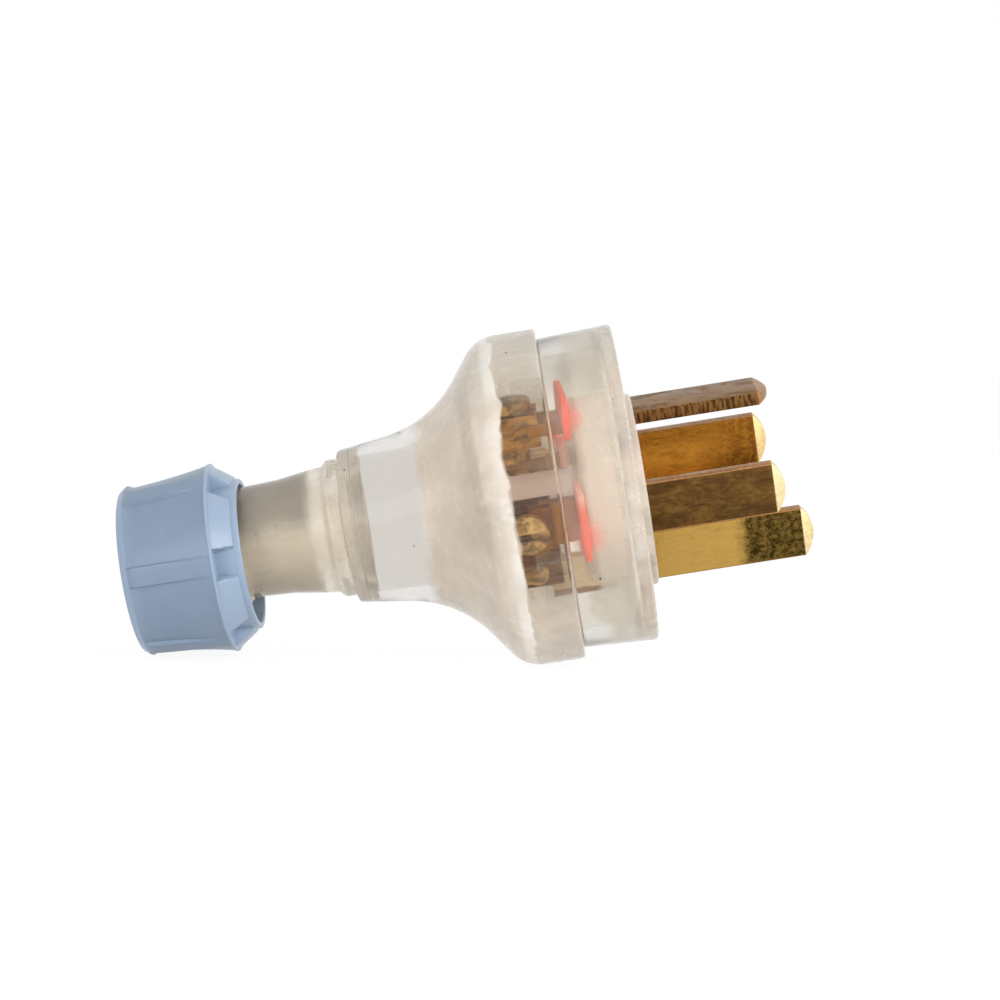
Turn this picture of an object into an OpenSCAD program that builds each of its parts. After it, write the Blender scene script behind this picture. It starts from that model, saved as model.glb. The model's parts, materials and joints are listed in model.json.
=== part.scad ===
// Flat-pin power plug for a three-phase lead: four brass blades in a clear base, a bell-shaped clear
// cover, a soft neck with its grip bush, and a gland nut that screws along the neck to hold the cord.
// The plug lies on its side, on the rim of its cover and on one panel of its nut.
// Plug frame: Z runs along the plug towards the blades, with 0 at the rim of the base, and X is up.

/* [Base] */
// Radius of the base at its front rim
base_front_r = 20.0; // [18.5:0.1:22]
// How much the base narrows from its rim to the cover
base_draft = 0.4; // [0:0.1:1]
// Length of base that shows in front of the cover
base_show_l = 9.4; // [8.5:0.1:14]
// Wall of the base's skirt
base_wall = 1.6; // [1.2:0.1:2.4]
// Thickness of the base's front wall
front_wall = 1.45; // [1:0.05:2]
// Depth of the solid block that holds the blades, from the rim
block_depth = 6.3; // [5:0.1:8]
// Radius of that block
block_r = 11.7; // [11.2:0.1:13]
// Length of the base's spigot inside the cover
spigot_l = 4.0; // [3:0.1:5]
// Radius of the raised boss on the front
boss_r = 12.1; // [11.8:0.1:13]
// Height of that boss
boss_h = 1.1; // [0.5:0.1:2]
// How far the boss sits towards the earth blade
boss_shift = 1.15; // [1:0.05:1.4]
// Radius of the post in the middle of the base
post_r = 3.1; // [2.8:0.1:3.3]

/* [Cover] */
// Step from the base out to the cover's lip
cover_step = 1.3; // [1:0.1:2]
// Wall of the cover
cover_wall = 2.2; // [1.9:0.1:2.4]
// Length of the round band at the lip
cover_band_l = 5.1; // [4.6:0.1:7]
// Radius of the cover's shoulder
shoulder_r = 4.9; // [4:0.1:6]
// Slope of the cover between shoulder and throat, in degrees
shoulder_slope = 53; // [48:1:58]
// Radius of the hollow curve into the throat
throat_r = 14.2; // [12:0.1:16]
// Taper of the cover's rear band, in degrees
rear_taper = 8; // [6:1:10]
// Radius of the cover at its rear end
cover_end_r = 9.65; // [9.6:0.05:10.5]
// Length of cover from its lip to its rear end
cover_l = 26.9; // [26:0.1:32]
// Thickness of the cover's rear end wall
rear_wall = 1.7; // [1.2:0.1:2.4]
// Turn of the ribs inside the cover, in degrees
cover_rib_turn = 53; // [0:1:60]
// Number of ribs inside the cover
cover_ribs = 6; // [4:1:8]
// Width of such a rib
cover_rib_w = 2.1; // [1.5:0.1:3]
// Width of the bridge that crosses the inside of the cover
bridge_w = 7.4; // [6.4:0.1:8]
// Thickness of that bridge
bridge_t = 2.3; // [1.8:0.1:3]

/* [Blades] */
// Width of a blade
blade_w = 6.35; // [6:0.05:6.6]
// Thickness of a blade
blade_t = 1.6; // [1.4:0.05:1.8]
// Length of the three phase blades in front of the boss
phase_l = 16.8; // [14:0.1:20]
// Length of the earth blade in front of the boss
earth_l = 20.5; // [16:0.1:24]
// Distance of a phase blade from the plug's axis
phase_pitch_r = 9.35; // [9.1:0.05:9.8]
// Distance of the earth blade from the plug's axis
earth_pitch_r = 10.0; // [9.9:0.05:10.1]
// Radius of a blade's rounded end
tip_r = 4.5; // [3.6:0.1:8]
// Length of the bevel on each face at a blade's end
tip_bevel_l = 1.7; // [1:0.1:2.4]
// Depth of that bevel
tip_bevel_d = 0.45; // [0.2:0.05:0.6]
// Turn of the whole blade pattern about the plug's axis, in degrees
pattern_roll = 16.5; // [0:0.5:30]

/* [Terminals] */
// Width of a terminal block and of the blade's tail in it
terminal_w = 5.3; // [5:0.1:5.8]
// Length of a terminal block along the plug
terminal_l = 5.2; // [4.8:0.1:5.8]
// Height of a terminal block
terminal_h = 4.1; // [3.8:0.1:4.6]
// Distance of the terminal blocks behind the rim
terminal_z = 13.6; // [13.2:0.1:14]
// Distance of the earth terminal from the plug's axis
earth_terminal_r = 8.8; // [8.7:0.1:9.2]
// Radius of the hole for a conductor
conductor_r = 1.7; // [1.4:0.05:1.8]
// Radius of a terminal screw
screw_r = 1.45; // [1.25:0.05:1.6]
// Radius of its head
screw_head_r = 2.4; // [2.2:0.05:2.5]
// Height of its head
screw_head_h = 1.9; // [1.5:0.1:2.2]
// Length of a terminal screw past its block
screw_past = 2.3; // [1:0.1:2.5]
// Thickness of the red washers behind the block
washer_t = 0.8; // [0.5:0.1:1.2]
// Width of a red washer
washer_w = 9.6; // [8:0.1:10]
// Reach of a red washer from the blade's middle, outwards
washer_out = 5.6; // [4:0.1:6]
// Reach of a red washer from the blade's middle, inwards
washer_in = 1.9; // [1.5:0.1:2.4]

/* [Cover screw] */
// Radius of the cover screw
cover_screw_r = 1.6; // [1.4:0.05:1.8]
// Radius of its head
cover_head_r = 2.9; // [2.6:0.05:3.1]
// Height of its head
cover_head_h = 2.0; // [1.6:0.1:2.4]
// Depth of the head below the boss
cover_head_depth = 2.4; // [2:0.1:3]
// Radius of the threaded insert
insert_r = 2.6; // [2.4:0.05:2.8]
// Length of the threaded insert
insert_l = 4.2; // [3:0.1:5]

/* [Neck] */
// Radius of the neck where it leaves the cover
neck_front_r = 8.0; // [7.6:0.1:8.2]
// Radius of the neck where it enters the nut
neck_rear_r = 6.95; // [6.7:0.05:7.4]
// Radius of the shoulder that covers the cover's rear hole
neck_collar_r = 8.7; // [8.5:0.1:9.2]
// Length of that shoulder
neck_collar_l = 1.6; // [1.2:0.1:2.4]
// Thickness of the flange inside the cover
flange_t = 1.4; // [1:0.1:2]
// Radius of that flange
flange_r = 8.7; // [8.5:0.1:8.9]
// Length of the bare neck between cover and nut mouth
neck_show_l = 12.8; // [11:0.1:22]
// Radius of the thread on the neck, over its crests
thread_r = 8.2; // [8:0.05:8.4]
// Length of that thread
thread_l = 6.2; // [5:0.1:8]
// Outer radius of the grip bush
bush_r = 5.65; // [5.4:0.05:5.8]
// Radius of the cord's hole through the bush
cord_r = 4.4; // [3.6:0.1:4.6]
// Length of neck in front of the bush
bush_front_gap = 3.7; // [2:0.1:6]
// Length of the bush's head behind the thread
bush_head_l = 1.6; // [1:0.1:2.4]
// Radius of that head
bush_head_r = 6.9; // [6.4:0.1:7.2]

/* [Gland nut] */
// How far the nut hangs below the plug's axis on its soft neck
nut_sag = 1.4; // [0.6:0.1:1.6]
// Length of the nut's gripping part
nut_grip_l = 11.35; // [10.8:0.05:14]
// Radius of the nut at its rear end
nut_rear_r = 10.95; // [10.6:0.05:12]
// Radius of the nut at the front of its grip
nut_front_r = 11.85; // [11:0.05:13]
// Depth of the flat on each of the nut's panels
nut_flat_depth = 0.35; // [0.2:0.05:0.5]
// Number of ribs round the nut
nut_ribs = 6; // [6:2:8]
// Width of such a rib
nut_rib_w = 2.4; // [1.8:0.1:3]
// Height of such a rib
nut_rib_h = 0.35; // [0.2:0.05:0.5]
// Radius of the thin lip in front of the grip
nut_lip_r = 12.3; // [12.2:0.05:13.5]
// Width of that lip
nut_lip_w = 0.4; // [0.3:0.05:0.6]
// Length of the tapered lugs in front of the lip
nut_lug_l = 2.15; // [1.5:0.05:3]
// Width of the notches between the lugs
nut_notch_w = 3.7; // [3:0.1:4.5]
// Radius of the collar at the nut's mouth
nut_collar_r = 9.55; // [9.5:0.05:9.8]
// Length of that collar
nut_collar_l = 1.1; // [0.8:0.1:1.6]
// Radius inside the mouth
nut_mouth_r = 8.85; // [8.8:0.05:8.9]
// Depth inside the mouth at which the neck's thread starts
thread_depth = 1.9; // [1.5:0.1:2.5]
// Radius of the cord's hole in the nut's rear wall
nut_hole_r = 6.2; // [5.6:0.1:6.6]
// Thickness of the thrust ring
ring_t = 1.4; // [1:0.1:2]
// Radius of the thrust ring
ring_r = 7.6; // [7.3:0.1:7.8]
// Radius of the hole in the thrust ring
ring_hole_r = 5.2; // [4.8:0.1:5.6]
// Travel of the nut from rest until its ring meets the bush
tighten_travel = 1.5; // [0.5:0.1:2]

/* [Fits] */
// Gap between pieces that seat in each other
seat_gap = 0.03; // [0.02:0.01:0.08]
// Radial gap of the thread and of the thrust ring
running_gap = 0.05; // [0.03:0.01:0.1]

/* [Hidden] */
$fn = 96;
hair = 0.01;

TOP = 0;
NEAR = 1;
FAR = 2;
EARTH = 3;
blade_turn = [0, 90, -90, 180];
blade_face_turn = [0, 0, 0, 90];
blade_pitch = [phase_pitch_r, phase_pitch_r, phase_pitch_r, earth_pitch_r];
terminal_pitch = [phase_pitch_r, phase_pitch_r, phase_pitch_r, earth_terminal_r];
blade_out = [phase_l, phase_l, phase_l, earth_l];

// Stations along the plug, from the blades backwards
lip_z = -base_show_l;
spigot_z = lip_z - spigot_l;
seat_z = spigot_z - seat_gap;
shoulder_z = lip_z - cover_band_l;
cover_end_z = lip_z - cover_l;
rear_wall_z = cover_end_z + rear_wall;
flange_z = rear_wall_z + seat_gap;
collar_z = cover_end_z - seat_gap;
nut_mouth_z = cover_end_z - neck_show_l;
nut_collar_z = nut_mouth_z - nut_collar_l;
nut_lug_z = nut_collar_z - nut_lug_l;
nut_grip_z = nut_lug_z - nut_lip_w;
nut_rear_z = nut_grip_z - nut_grip_l;
thread_z = nut_mouth_z - thread_depth;
nut_bore_z = thread_z - tighten_travel - 2 * running_gap;
thread_root_r = thread_r - nut_sag - 0.3;
thread_end_z = thread_z - thread_l;
bush_front_z = cover_end_z - bush_front_gap;
bush_head_z = thread_end_z - seat_gap;
bush_end_z = bush_head_z - bush_head_l;
ring_z = bush_end_z - tighten_travel - running_gap;
ring_end_z = ring_z - ring_t;
nut_wall_z = ring_end_z - seat_gap;
nut_step_z = thread_end_z - tighten_travel - 3 * running_gap;
post_z = lip_z - spigot_l - 3.4;
bridge_z = post_z - seat_gap;
screw_z = -terminal_z - 0.3;
terminal_front_z = -terminal_z + terminal_l / 2;
terminal_rear_z = -terminal_z - terminal_l / 2;
tail_seat_l = 1.35;
tail_root_l = 3;
cover_r = base_front_r - base_draft + cover_step;
spigot_r = base_front_r - base_draft - 0.5;
cover_seat_r = spigot_r + seat_gap;
inner_throat_r = flange_r + seat_gap;
edge_r = 0.4;
edge_steps = 5;
curve_steps = 10;

// Points on an arc round (cx, cy), from angle a to angle b
function arc(cx, cy, r, a, b, steps) =
    [for (i = [0 : steps]) [cx + r * cos(a + (b - a) * i / steps), cy + r * sin(a + (b - a) * i / steps)]];

// The bell's side, set in by inset from the outer surface: shoulder, straight slope, hollow throat
shoulder_drop = shoulder_r * (1 - cos(shoulder_slope));
throat_drop = throat_r * (cos(rear_taper) - cos(shoulder_slope));
throat_l = throat_r * (sin(shoulder_slope) - sin(rear_taper));
straight_l = shoulder_z - cover_end_z - shoulder_r * sin(shoulder_slope) - throat_l;
slope_l = (cover_r - shoulder_drop - throat_drop - cover_end_r - straight_l * tan(rear_taper))
    / (sin(shoulder_slope) - tan(rear_taper) * cos(shoulder_slope));
slope_start = [cover_r - shoulder_drop, shoulder_z - shoulder_r * sin(shoulder_slope)];
slope_end = slope_start - slope_l * [sin(shoulder_slope), cos(shoulder_slope)];
throat_c = slope_end + throat_r * [cos(shoulder_slope), -sin(shoulder_slope)];
function bell_side(inset) = concat(
    arc(cover_r - shoulder_r, shoulder_z, shoulder_r - inset, 0, -shoulder_slope, curve_steps),
    arc(throat_c[0], throat_c[1], throat_r + inset, 180 - shoulder_slope, 180 - rear_taper, curve_steps)
);

// The plug lies on the round of the cover's shoulder and on the rear end of the nut's lowest panel
rest_nut_r = nut_rear_r - nut_flat_depth + nut_sag;
rest_nut_z = nut_rear_z + 0.05;
rest_drop = cover_r - shoulder_r - rest_nut_r;
rest_span = shoulder_z - rest_nut_z;
rest_tilt = atan2(rest_drop, rest_span) + asin(shoulder_r / norm([rest_drop, rest_span]));
rest_height = (cover_r - shoulder_r) * cos(rest_tilt) - shoulder_z * sin(rest_tilt) + shoulder_r;
tip_front_x = (boss_h + earth_l) * cos(rest_tilt)
    + earth_pitch_r * cos(pattern_roll) * sin(rest_tilt);
nut_rear_x = nut_rear_z * cos(rest_tilt)
    - (nut_rear_r - nut_flat_depth - nut_sag) * sin(rest_tilt);
rest_shift = -(tip_front_x + nut_rear_x) / 2;

module at_rest() {
    translate([rest_shift, 0, rest_height])
        rotate([0, -rest_tilt, 0])
            rotate([0, -90, 180])
                children();
}

// Puts a child, drawn with X outwards and Y across, at one blade's place
module at_blade(i, pitch) {
    rotate([0, 0, pattern_roll + blade_turn[i]])
        translate([pitch[i], 0, 0])
            rotate([0, 0, blade_face_turn[i]])
                children();
}

module at_nut() {
    translate([-nut_sag, 0, 0]) children();
}

module ring(r, hole_r, z_low, z_high) {
    translate([0, 0, z_low]) difference() {
        cylinder(r = r, h = z_high - z_low);
        translate([0, 0, -1]) cylinder(r = hole_r, h = z_high - z_low + 2);
    }
}

module rod(r, z_low, z_high) {
    translate([0, 0, z_low]) cylinder(r = r, h = z_high - z_low);
}

module slab(x, y, z_low, z_high) {
    translate([-x / 2, -y / 2, z_low]) cube([x, y, z_high - z_low]);
}

// ---- blades -------------------------------------------------------------------------------------

module blade_section(grow) {
    edge = 0.15;
    x = blade_t / 2 + grow;
    y = blade_w / 2 + grow;
    polygon([
        [x - edge, -y], [x, -y + edge], [x, y - edge], [x - edge, y],
        [-x + edge, y], [-x, y - edge], [-x, -y + edge], [-x + edge, -y]
    ]);
}

module blade_plan(z_low, z_high) {
    tip_drop = tip_r - sqrt(tip_r * tip_r - blade_w * blade_w / 4);
    half_turn = asin(blade_w / 2 / tip_r);
    translate([-blade_t, 0, 0]) rotate([90, 0, 90]) linear_extrude(2 * blade_t)
        intersection() {
            translate([-blade_w / 2, z_low]) square([blade_w, z_high - z_low]);
            union() {
                translate([0, z_high - tip_r]) circle(r = tip_r);
                translate([-blade_w, z_low - 1]) square([2 * blade_w, z_high - z_low - tip_drop + 1]);
            }
        }
}

module blade_side(z_low, z_high) {
    x = blade_t / 2;
    translate([0, blade_w, 0]) rotate([90, 0, 0]) linear_extrude(2 * blade_w)
        polygon([
            [-x, z_low], [x, z_low], [x, z_high - tip_bevel_l], [x - tip_bevel_d, z_high],
            [-x + tip_bevel_d, z_high], [-x, z_high - tip_bevel_l]
        ]);
}

module blade(i) {
    z_high = boss_h + blade_out[i];
    z_low = -block_depth + 0.2;
    jog = terminal_pitch[i] - blade_pitch[i];
    color(i == TOP ? "sienna" : i == NEAR ? "darkgoldenrod" : "goldenrod")
        at_blade(i, blade_pitch) union() {
            intersection() {
                translate([0, 0, z_low]) linear_extrude(z_high - z_low) blade_section(0);
                blade_plan(z_low, z_high);
                blade_side(z_low, z_high);
            }
            translate([0, jog, 0])
                slab(blade_t, terminal_w, terminal_front_z - tail_seat_l, z_low + tail_root_l);
        }
}

module blade_slots() {
    for (i = [TOP : EARTH]) {
        at_blade(i, blade_pitch) translate([0, 0, -block_depth + 0.2 - seat_gap])
            linear_extrude(block_depth + boss_h + 1) blade_section(seat_gap);
        at_blade(i, blade_pitch) translate([0, terminal_pitch[i] - blade_pitch[i], 0])
            slab(blade_t + 2 * seat_gap, terminal_w + 2 * seat_gap, -block_depth - 1, 0 - front_wall);
    }
}

// ---- terminals ----------------------------------------------------------------------------------

module washer(i) {
    color("red") at_blade(i, blade_pitch) difference() {
        translate([-washer_in, -washer_w / 2, -block_depth - washer_t - seat_gap])
            cube([washer_in + washer_out, washer_w, washer_t]);
        slab(blade_t + 2 * seat_gap, terminal_w + 2 * seat_gap, -block_depth - 3, -block_depth + 1);
    }
}

module terminal(i) {
    color("peru") at_blade(i, terminal_pitch) difference() {
        slab(terminal_h, terminal_w, terminal_rear_z, terminal_front_z);
        slab(blade_t + 2 * seat_gap, terminal_w + 1,
            terminal_front_z - tail_seat_l - seat_gap, terminal_front_z + 1);
        rod(conductor_r, terminal_rear_z - 1, terminal_front_z - tail_seat_l - 0.4);
        translate([-terminal_h, 0, screw_z]) rotate([0, 90, 0])
            cylinder(r = screw_r + seat_gap, h = 2 * terminal_h);
    }
}

module terminal_screw(i) {
    slot_w = 0.9;
    slot_d = 1.0;
    dome = 0.5;
    color("burlywood") at_blade(i, terminal_pitch)
        translate([terminal_h / 2 + seat_gap, 0, screw_z]) rotate([0, 90, 0]) difference() {
            union() {
                cylinder(r = screw_head_r, h = screw_head_h - dome);
                translate([0, 0, screw_head_h - dome])
                    cylinder(r1 = screw_head_r, r2 = screw_head_r - dome, h = dome);
                translate([0, 0, -terminal_h - screw_past])
                    cylinder(r = screw_r, h = terminal_h + screw_past + hair);
            }
            translate([-screw_head_r - 1, -slot_w / 2, screw_head_h - slot_d])
                cube([2 * screw_head_r + 2, slot_w, slot_d + 1]);
        }
}

// ---- base ---------------------------------------------------------------------------------------

module base_shell() {
    rim_steps = arc(base_front_r - edge_r, -edge_r, edge_r, 90, 0, edge_steps);
    rotate_extrude() polygon(concat(
        [[0, 0]],
        rim_steps,
        [
            [base_front_r - base_draft, lip_z + seat_gap],
            [spigot_r, lip_z + seat_gap],
            [spigot_r, spigot_z],
            [spigot_r - base_wall, spigot_z],
            [spigot_r - base_wall, -front_wall],
            [block_r, -front_wall],
            [block_r, -block_depth],
            [0, -block_depth]
        ]
    ));
}

module pin_base() {
    color("mistyrose") difference() {
        union() {
            base_shell();
            rotate([0, 0, pattern_roll]) translate([-boss_shift, 0, 0])
                rod(boss_r, -hair, boss_h);
            rod(post_r, post_z, -block_depth + hair);
        }
        blade_slots();
        rod(cover_screw_r + seat_gap, post_z - 1, boss_h + 1);
        rod(cover_head_r + seat_gap, boss_h - cover_head_depth - cover_head_h, boss_h + 1);
    }
}

// ---- cover --------------------------------------------------------------------------------------

module bell_solid(inset, r, z_front, z_rear, end_r) {
    side = bell_side(inset);
    rotate_extrude() polygon(concat([[0, z_front], [r, z_front]], side, [[end_r, z_rear], [0, z_rear]]));
}

module cover_outer() {
    lip = arc(cover_r - edge_r, lip_z - edge_r, edge_r, 90, 0, edge_steps);
    rotate_extrude() polygon(concat(
        [[0, lip_z]], lip, bell_side(0), [[cover_end_r, cover_end_z], [0, cover_end_z]]
    ));
}

module cover_hollow() {
    intersection() {
        bell_solid(cover_wall, cover_r - cover_wall, seat_z, rear_wall_z, cover_end_r - cover_wall);
        rod(cover_r, rear_wall_z, seat_z);
    }
    rod(cover_seat_r, seat_z, lip_z + 1);
    rod(inner_throat_r, rear_wall_z, shoulder_z);
}

module cover_ribs_inside() {
    rib_l = 4.0;
    rib_h = 0.8;
    for (i = [0 : cover_ribs - 1])
        rotate([0, 0, cover_rib_turn + i * 360 / cover_ribs])
            translate([cover_r - cover_wall - rib_h, -cover_rib_w / 2, seat_z - rib_l])
                cube([rib_h + 0.4, cover_rib_w, rib_l - 0.5]);
}

// Radius of the bell's straight slope at a station
function slope_r(z) = slope_start[0] + (z - slope_start[1]) * tan(shoulder_slope);

module cover_bridge() {
    wall_across = cover_wall / cos(shoulder_slope);
    reach = slope_r(bridge_z - bridge_t) - 0.3 * wall_across;
    rotate([0, 0, pattern_roll + 45]) slab(2 * reach, bridge_w, bridge_z - bridge_t, bridge_z);
    rod(insert_r + 1.6, bridge_z - insert_l - 0.6, bridge_z);
}

module rear_cover() {
    color("lightgray") difference() {
        union() {
            difference() {
                cover_outer();
                cover_hollow();
            }
            cover_ribs_inside();
            cover_bridge();
        }
        rod(neck_front_r + seat_gap, cover_end_z - 1, rear_wall_z + 1);
        rod(insert_r + seat_gap, bridge_z - insert_l, bridge_z + 1);
        rod(cover_screw_r + seat_gap, bridge_z - insert_l - 2, bridge_z);
    }
}

module cover_screw() {
    slot_w = 1.0;
    slot_d = 1.0;
    head_top = boss_h - cover_head_depth;
    color("silver") difference() {
        union() {
            rod(cover_head_r, head_top - cover_head_h + seat_gap, head_top);
            rod(cover_screw_r, bridge_z - insert_l, head_top - hair);
        }
        rotate([0, 0, pattern_roll + 30]) slab(2 * cover_head_r + 2, slot_w, head_top - slot_d, head_top + 1);
    }
}

module cover_insert() {
    color("goldenrod")
        ring(insert_r, cover_screw_r + seat_gap / 2, bridge_z - insert_l + seat_gap, bridge_z);
}

// ---- neck and grip bush -------------------------------------------------------------------------

module neck_sleeve() {
    fillet = arc(
        neck_collar_r, collar_z - neck_collar_l, neck_collar_r - neck_front_r, 90, 180, edge_steps
    );
    color("beige") difference() {
        union() {
            rotate_extrude() polygon(concat(
                [
                    [0, flange_z + flange_t], [flange_r, flange_z + flange_t], [flange_r, flange_z],
                    [neck_front_r, flange_z], [neck_front_r, collar_z], [neck_collar_r, collar_z]
                ],
                [for (p = fillet) [p[0], min(p[1], collar_z - 0.4)]],
                [
                    [neck_rear_r, thread_z + running_gap], [thread_root_r, thread_z + running_gap],
                    [thread_root_r, thread_z - 2], [0, thread_z - 2]
                ]
            ));
            at_nut() rod(thread_r, thread_end_z, thread_z - running_gap);
        }
        rod(cord_r, bush_front_z - 1, flange_z + flange_t + 1);
        rod(bush_r + seat_gap, thread_z - 2.5, bush_front_z);
        at_nut() rod(bush_r + seat_gap, thread_end_z - 1, thread_z - running_gap);
        translate([0, 0, flange_z + flange_t - 2])
            cylinder(r1 = cord_r, r2 = cord_r + 2.1, h = 2 + hair);
    }
}

module grip_bush() {
    color("tan") difference() {
        union() {
            rod(bush_r, thread_z - 2.45, bush_front_z - seat_gap);
            at_nut() rod(bush_r, bush_end_z, thread_z - running_gap - seat_gap);
            at_nut() rod(bush_head_r, bush_end_z, bush_head_z);
        }
        rod(cord_r, thread_z - 2.45, bush_front_z + 1);
        at_nut() rod(cord_r, bush_end_z - 1, thread_z - 1);
    }
}

module thrust_ring() {
    color("dimgray") at_nut() ring(ring_r, ring_hole_r, ring_end_z, ring_z);
}

// ---- gland nut ----------------------------------------------------------------------------------

flare_power = 1.6;
flare_steps = 8;

// The grip's side flares towards the front, more and more
function grip_side(grow) = [
    for (i = [0 : flare_steps])
        [
            nut_rear_r + grow + (nut_front_r - nut_rear_r) * pow(i / flare_steps, flare_power),
            nut_rear_z + edge_r + (nut_grip_z - nut_rear_z - edge_r) * i / flare_steps
        ]
];

module grip_solid(grow) {
    rear_edge = arc(nut_rear_r + grow - edge_r, nut_rear_z + edge_r, edge_r, -90, 0, edge_steps);
    rotate_extrude() polygon(concat(
        [[0, nut_rear_z]], rear_edge, grip_side(grow), [[0, nut_grip_z]]
    ));
}

module nut_panels() {
    lean = atan2(nut_front_r - nut_rear_r, nut_grip_z - nut_rear_z);
    over = 3;
    for (i = [0 : nut_ribs - 1])
        rotate([0, 0, i * 360 / nut_ribs]) intersection() {
            translate([nut_rear_r - nut_flat_depth, 0, nut_rear_z]) rotate([0, lean, 0])
                translate([0, -nut_rear_r / 2, -over])
                    cube([over + 1, nut_rear_r, nut_grip_l + 2 * over]);
            slab(4 * nut_front_r, 4 * nut_front_r, nut_rear_z - 1, nut_grip_z);
        }
}

module nut_grip_ribs() {
    intersection() {
        grip_solid(nut_rib_h);
        for (i = [0 : nut_ribs - 1])
            rotate([0, 0, (i + 0.5) * 360 / nut_ribs])
                translate([nut_rear_r / 2, -nut_rib_w / 2, nut_rear_z])
                    cube([nut_front_r, nut_rib_w, nut_grip_l]);
    }
}

module nut_lugs() {
    lug_front_r = 9.9;
    difference() {
        translate([0, 0, nut_lug_z])
            cylinder(r1 = nut_rear_r, r2 = lug_front_r, h = nut_lug_l);
        for (i = [0 : nut_ribs - 1])
            rotate([0, 0, (i + 0.5) * 360 / nut_ribs])
                translate([nut_collar_r, -nut_notch_w / 2, nut_lug_z])
                    cube([4, nut_notch_w, nut_lug_l + 1]);
    }
}

module gland_nut() {
    color("lightsteelblue") at_nut() difference() {
        union() {
            difference() {
                grip_solid(0);
                nut_panels();
            }
            nut_grip_ribs();
            rod(nut_lip_r, nut_grip_z, nut_lug_z);
            nut_lugs();
            rod(nut_collar_r, nut_lug_z, nut_mouth_z);
        }
        rod(nut_mouth_r, nut_bore_z, nut_mouth_z + 1);
        rod(thread_r + running_gap, nut_step_z, nut_bore_z + hair);
        rod(ring_r + running_gap, nut_wall_z, nut_step_z + hair);
        rod(nut_hole_r, nut_rear_z - 1, nut_wall_z + hair);
        translate([0, 0, nut_rear_z - hair])
            cylinder(r1 = nut_hole_r + 0.8, r2 = nut_hole_r, h = 0.8);
    }
}

at_rest() pin_base();
at_rest() blade(TOP);  // blade_top
at_rest() blade(NEAR);  // blade_near
at_rest() blade(FAR);  // blade_far
at_rest() blade(EARTH);  // blade_earth
at_rest() washer(TOP);  // washer_top
at_rest() washer(NEAR);  // washer_near
at_rest() washer(FAR);  // washer_far
at_rest() terminal(TOP);  // terminal_top
at_rest() terminal(NEAR);  // terminal_near
at_rest() terminal(FAR);  // terminal_far
at_rest() terminal(EARTH);  // terminal_earth
at_rest() terminal_screw(TOP);  // screw_top
at_rest() terminal_screw(NEAR);  // screw_near
at_rest() terminal_screw(FAR);  // screw_far
at_rest() terminal_screw(EARTH);  // screw_earth
at_rest() cover_screw();
at_rest() cover_insert();
at_rest() rear_cover();
at_rest() neck_sleeve();
at_rest() grip_bush();
at_rest() thrust_ring();
at_rest() gland_nut();
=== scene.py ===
import json
import math
from functools import reduce
from types import SimpleNamespace

import bmesh
import bpy
from bpy.props import FloatProperty, FloatVectorProperty, IntProperty, PointerProperty
from mathutils import Matrix, Vector


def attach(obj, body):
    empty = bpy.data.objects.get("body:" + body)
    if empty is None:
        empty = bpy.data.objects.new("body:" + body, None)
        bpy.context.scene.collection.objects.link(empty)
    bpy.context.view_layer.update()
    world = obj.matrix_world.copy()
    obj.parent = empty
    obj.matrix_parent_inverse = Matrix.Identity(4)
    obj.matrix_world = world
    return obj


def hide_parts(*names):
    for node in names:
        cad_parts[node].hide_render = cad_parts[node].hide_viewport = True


bl_info = {
    "name": "Four-pin power plug",
    "version": (1, 0, 0),
    "blender": (4, 5, 0),
    "location": "View3D > Sidebar > Plug",
    "description": "Dresses the packed plug: clear mouldings, tarnished brass, gland nut and studio",
    "category": "Object",
}

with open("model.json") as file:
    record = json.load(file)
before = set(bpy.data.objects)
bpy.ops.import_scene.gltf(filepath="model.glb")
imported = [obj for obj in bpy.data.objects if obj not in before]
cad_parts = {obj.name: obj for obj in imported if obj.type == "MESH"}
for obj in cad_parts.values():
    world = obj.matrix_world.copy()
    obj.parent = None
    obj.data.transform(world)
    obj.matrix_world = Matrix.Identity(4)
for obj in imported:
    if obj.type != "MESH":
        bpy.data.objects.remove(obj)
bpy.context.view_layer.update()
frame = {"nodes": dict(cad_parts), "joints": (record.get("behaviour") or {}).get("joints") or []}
JOINTS = {joint["name"]: joint for joint in frame["joints"]}

MM = 0.001
TOP, NEAR, FAR = range(3)
PLACES = ("top", "near", "far", "earth")
TURNS = (0, 90, -90, 180)  # of each blade about the plug's axis
FACE_TURNS = (0, 0, 0, 90)  # of each blade about its own


# ---- sizes that a user would change --------------------------------------------------------------

def length(name, description, default, low=0.0, high=0.1):
    return FloatProperty(
        name=name, description=description, default=default * MM, min=low, max=high,
        precision=5, subtype="DISTANCE", unit="LENGTH",
    )


def angle(name, description, default):
    return FloatProperty(
        name=name, description=description, default=math.radians(default),
        subtype="ANGLE", unit="ROTATION",
    )


def colour(name, description, default):
    return FloatVectorProperty(
        name=name, description=description, default=default, size=3, min=0.0, max=1.0,
        subtype="COLOR",
    )


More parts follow.
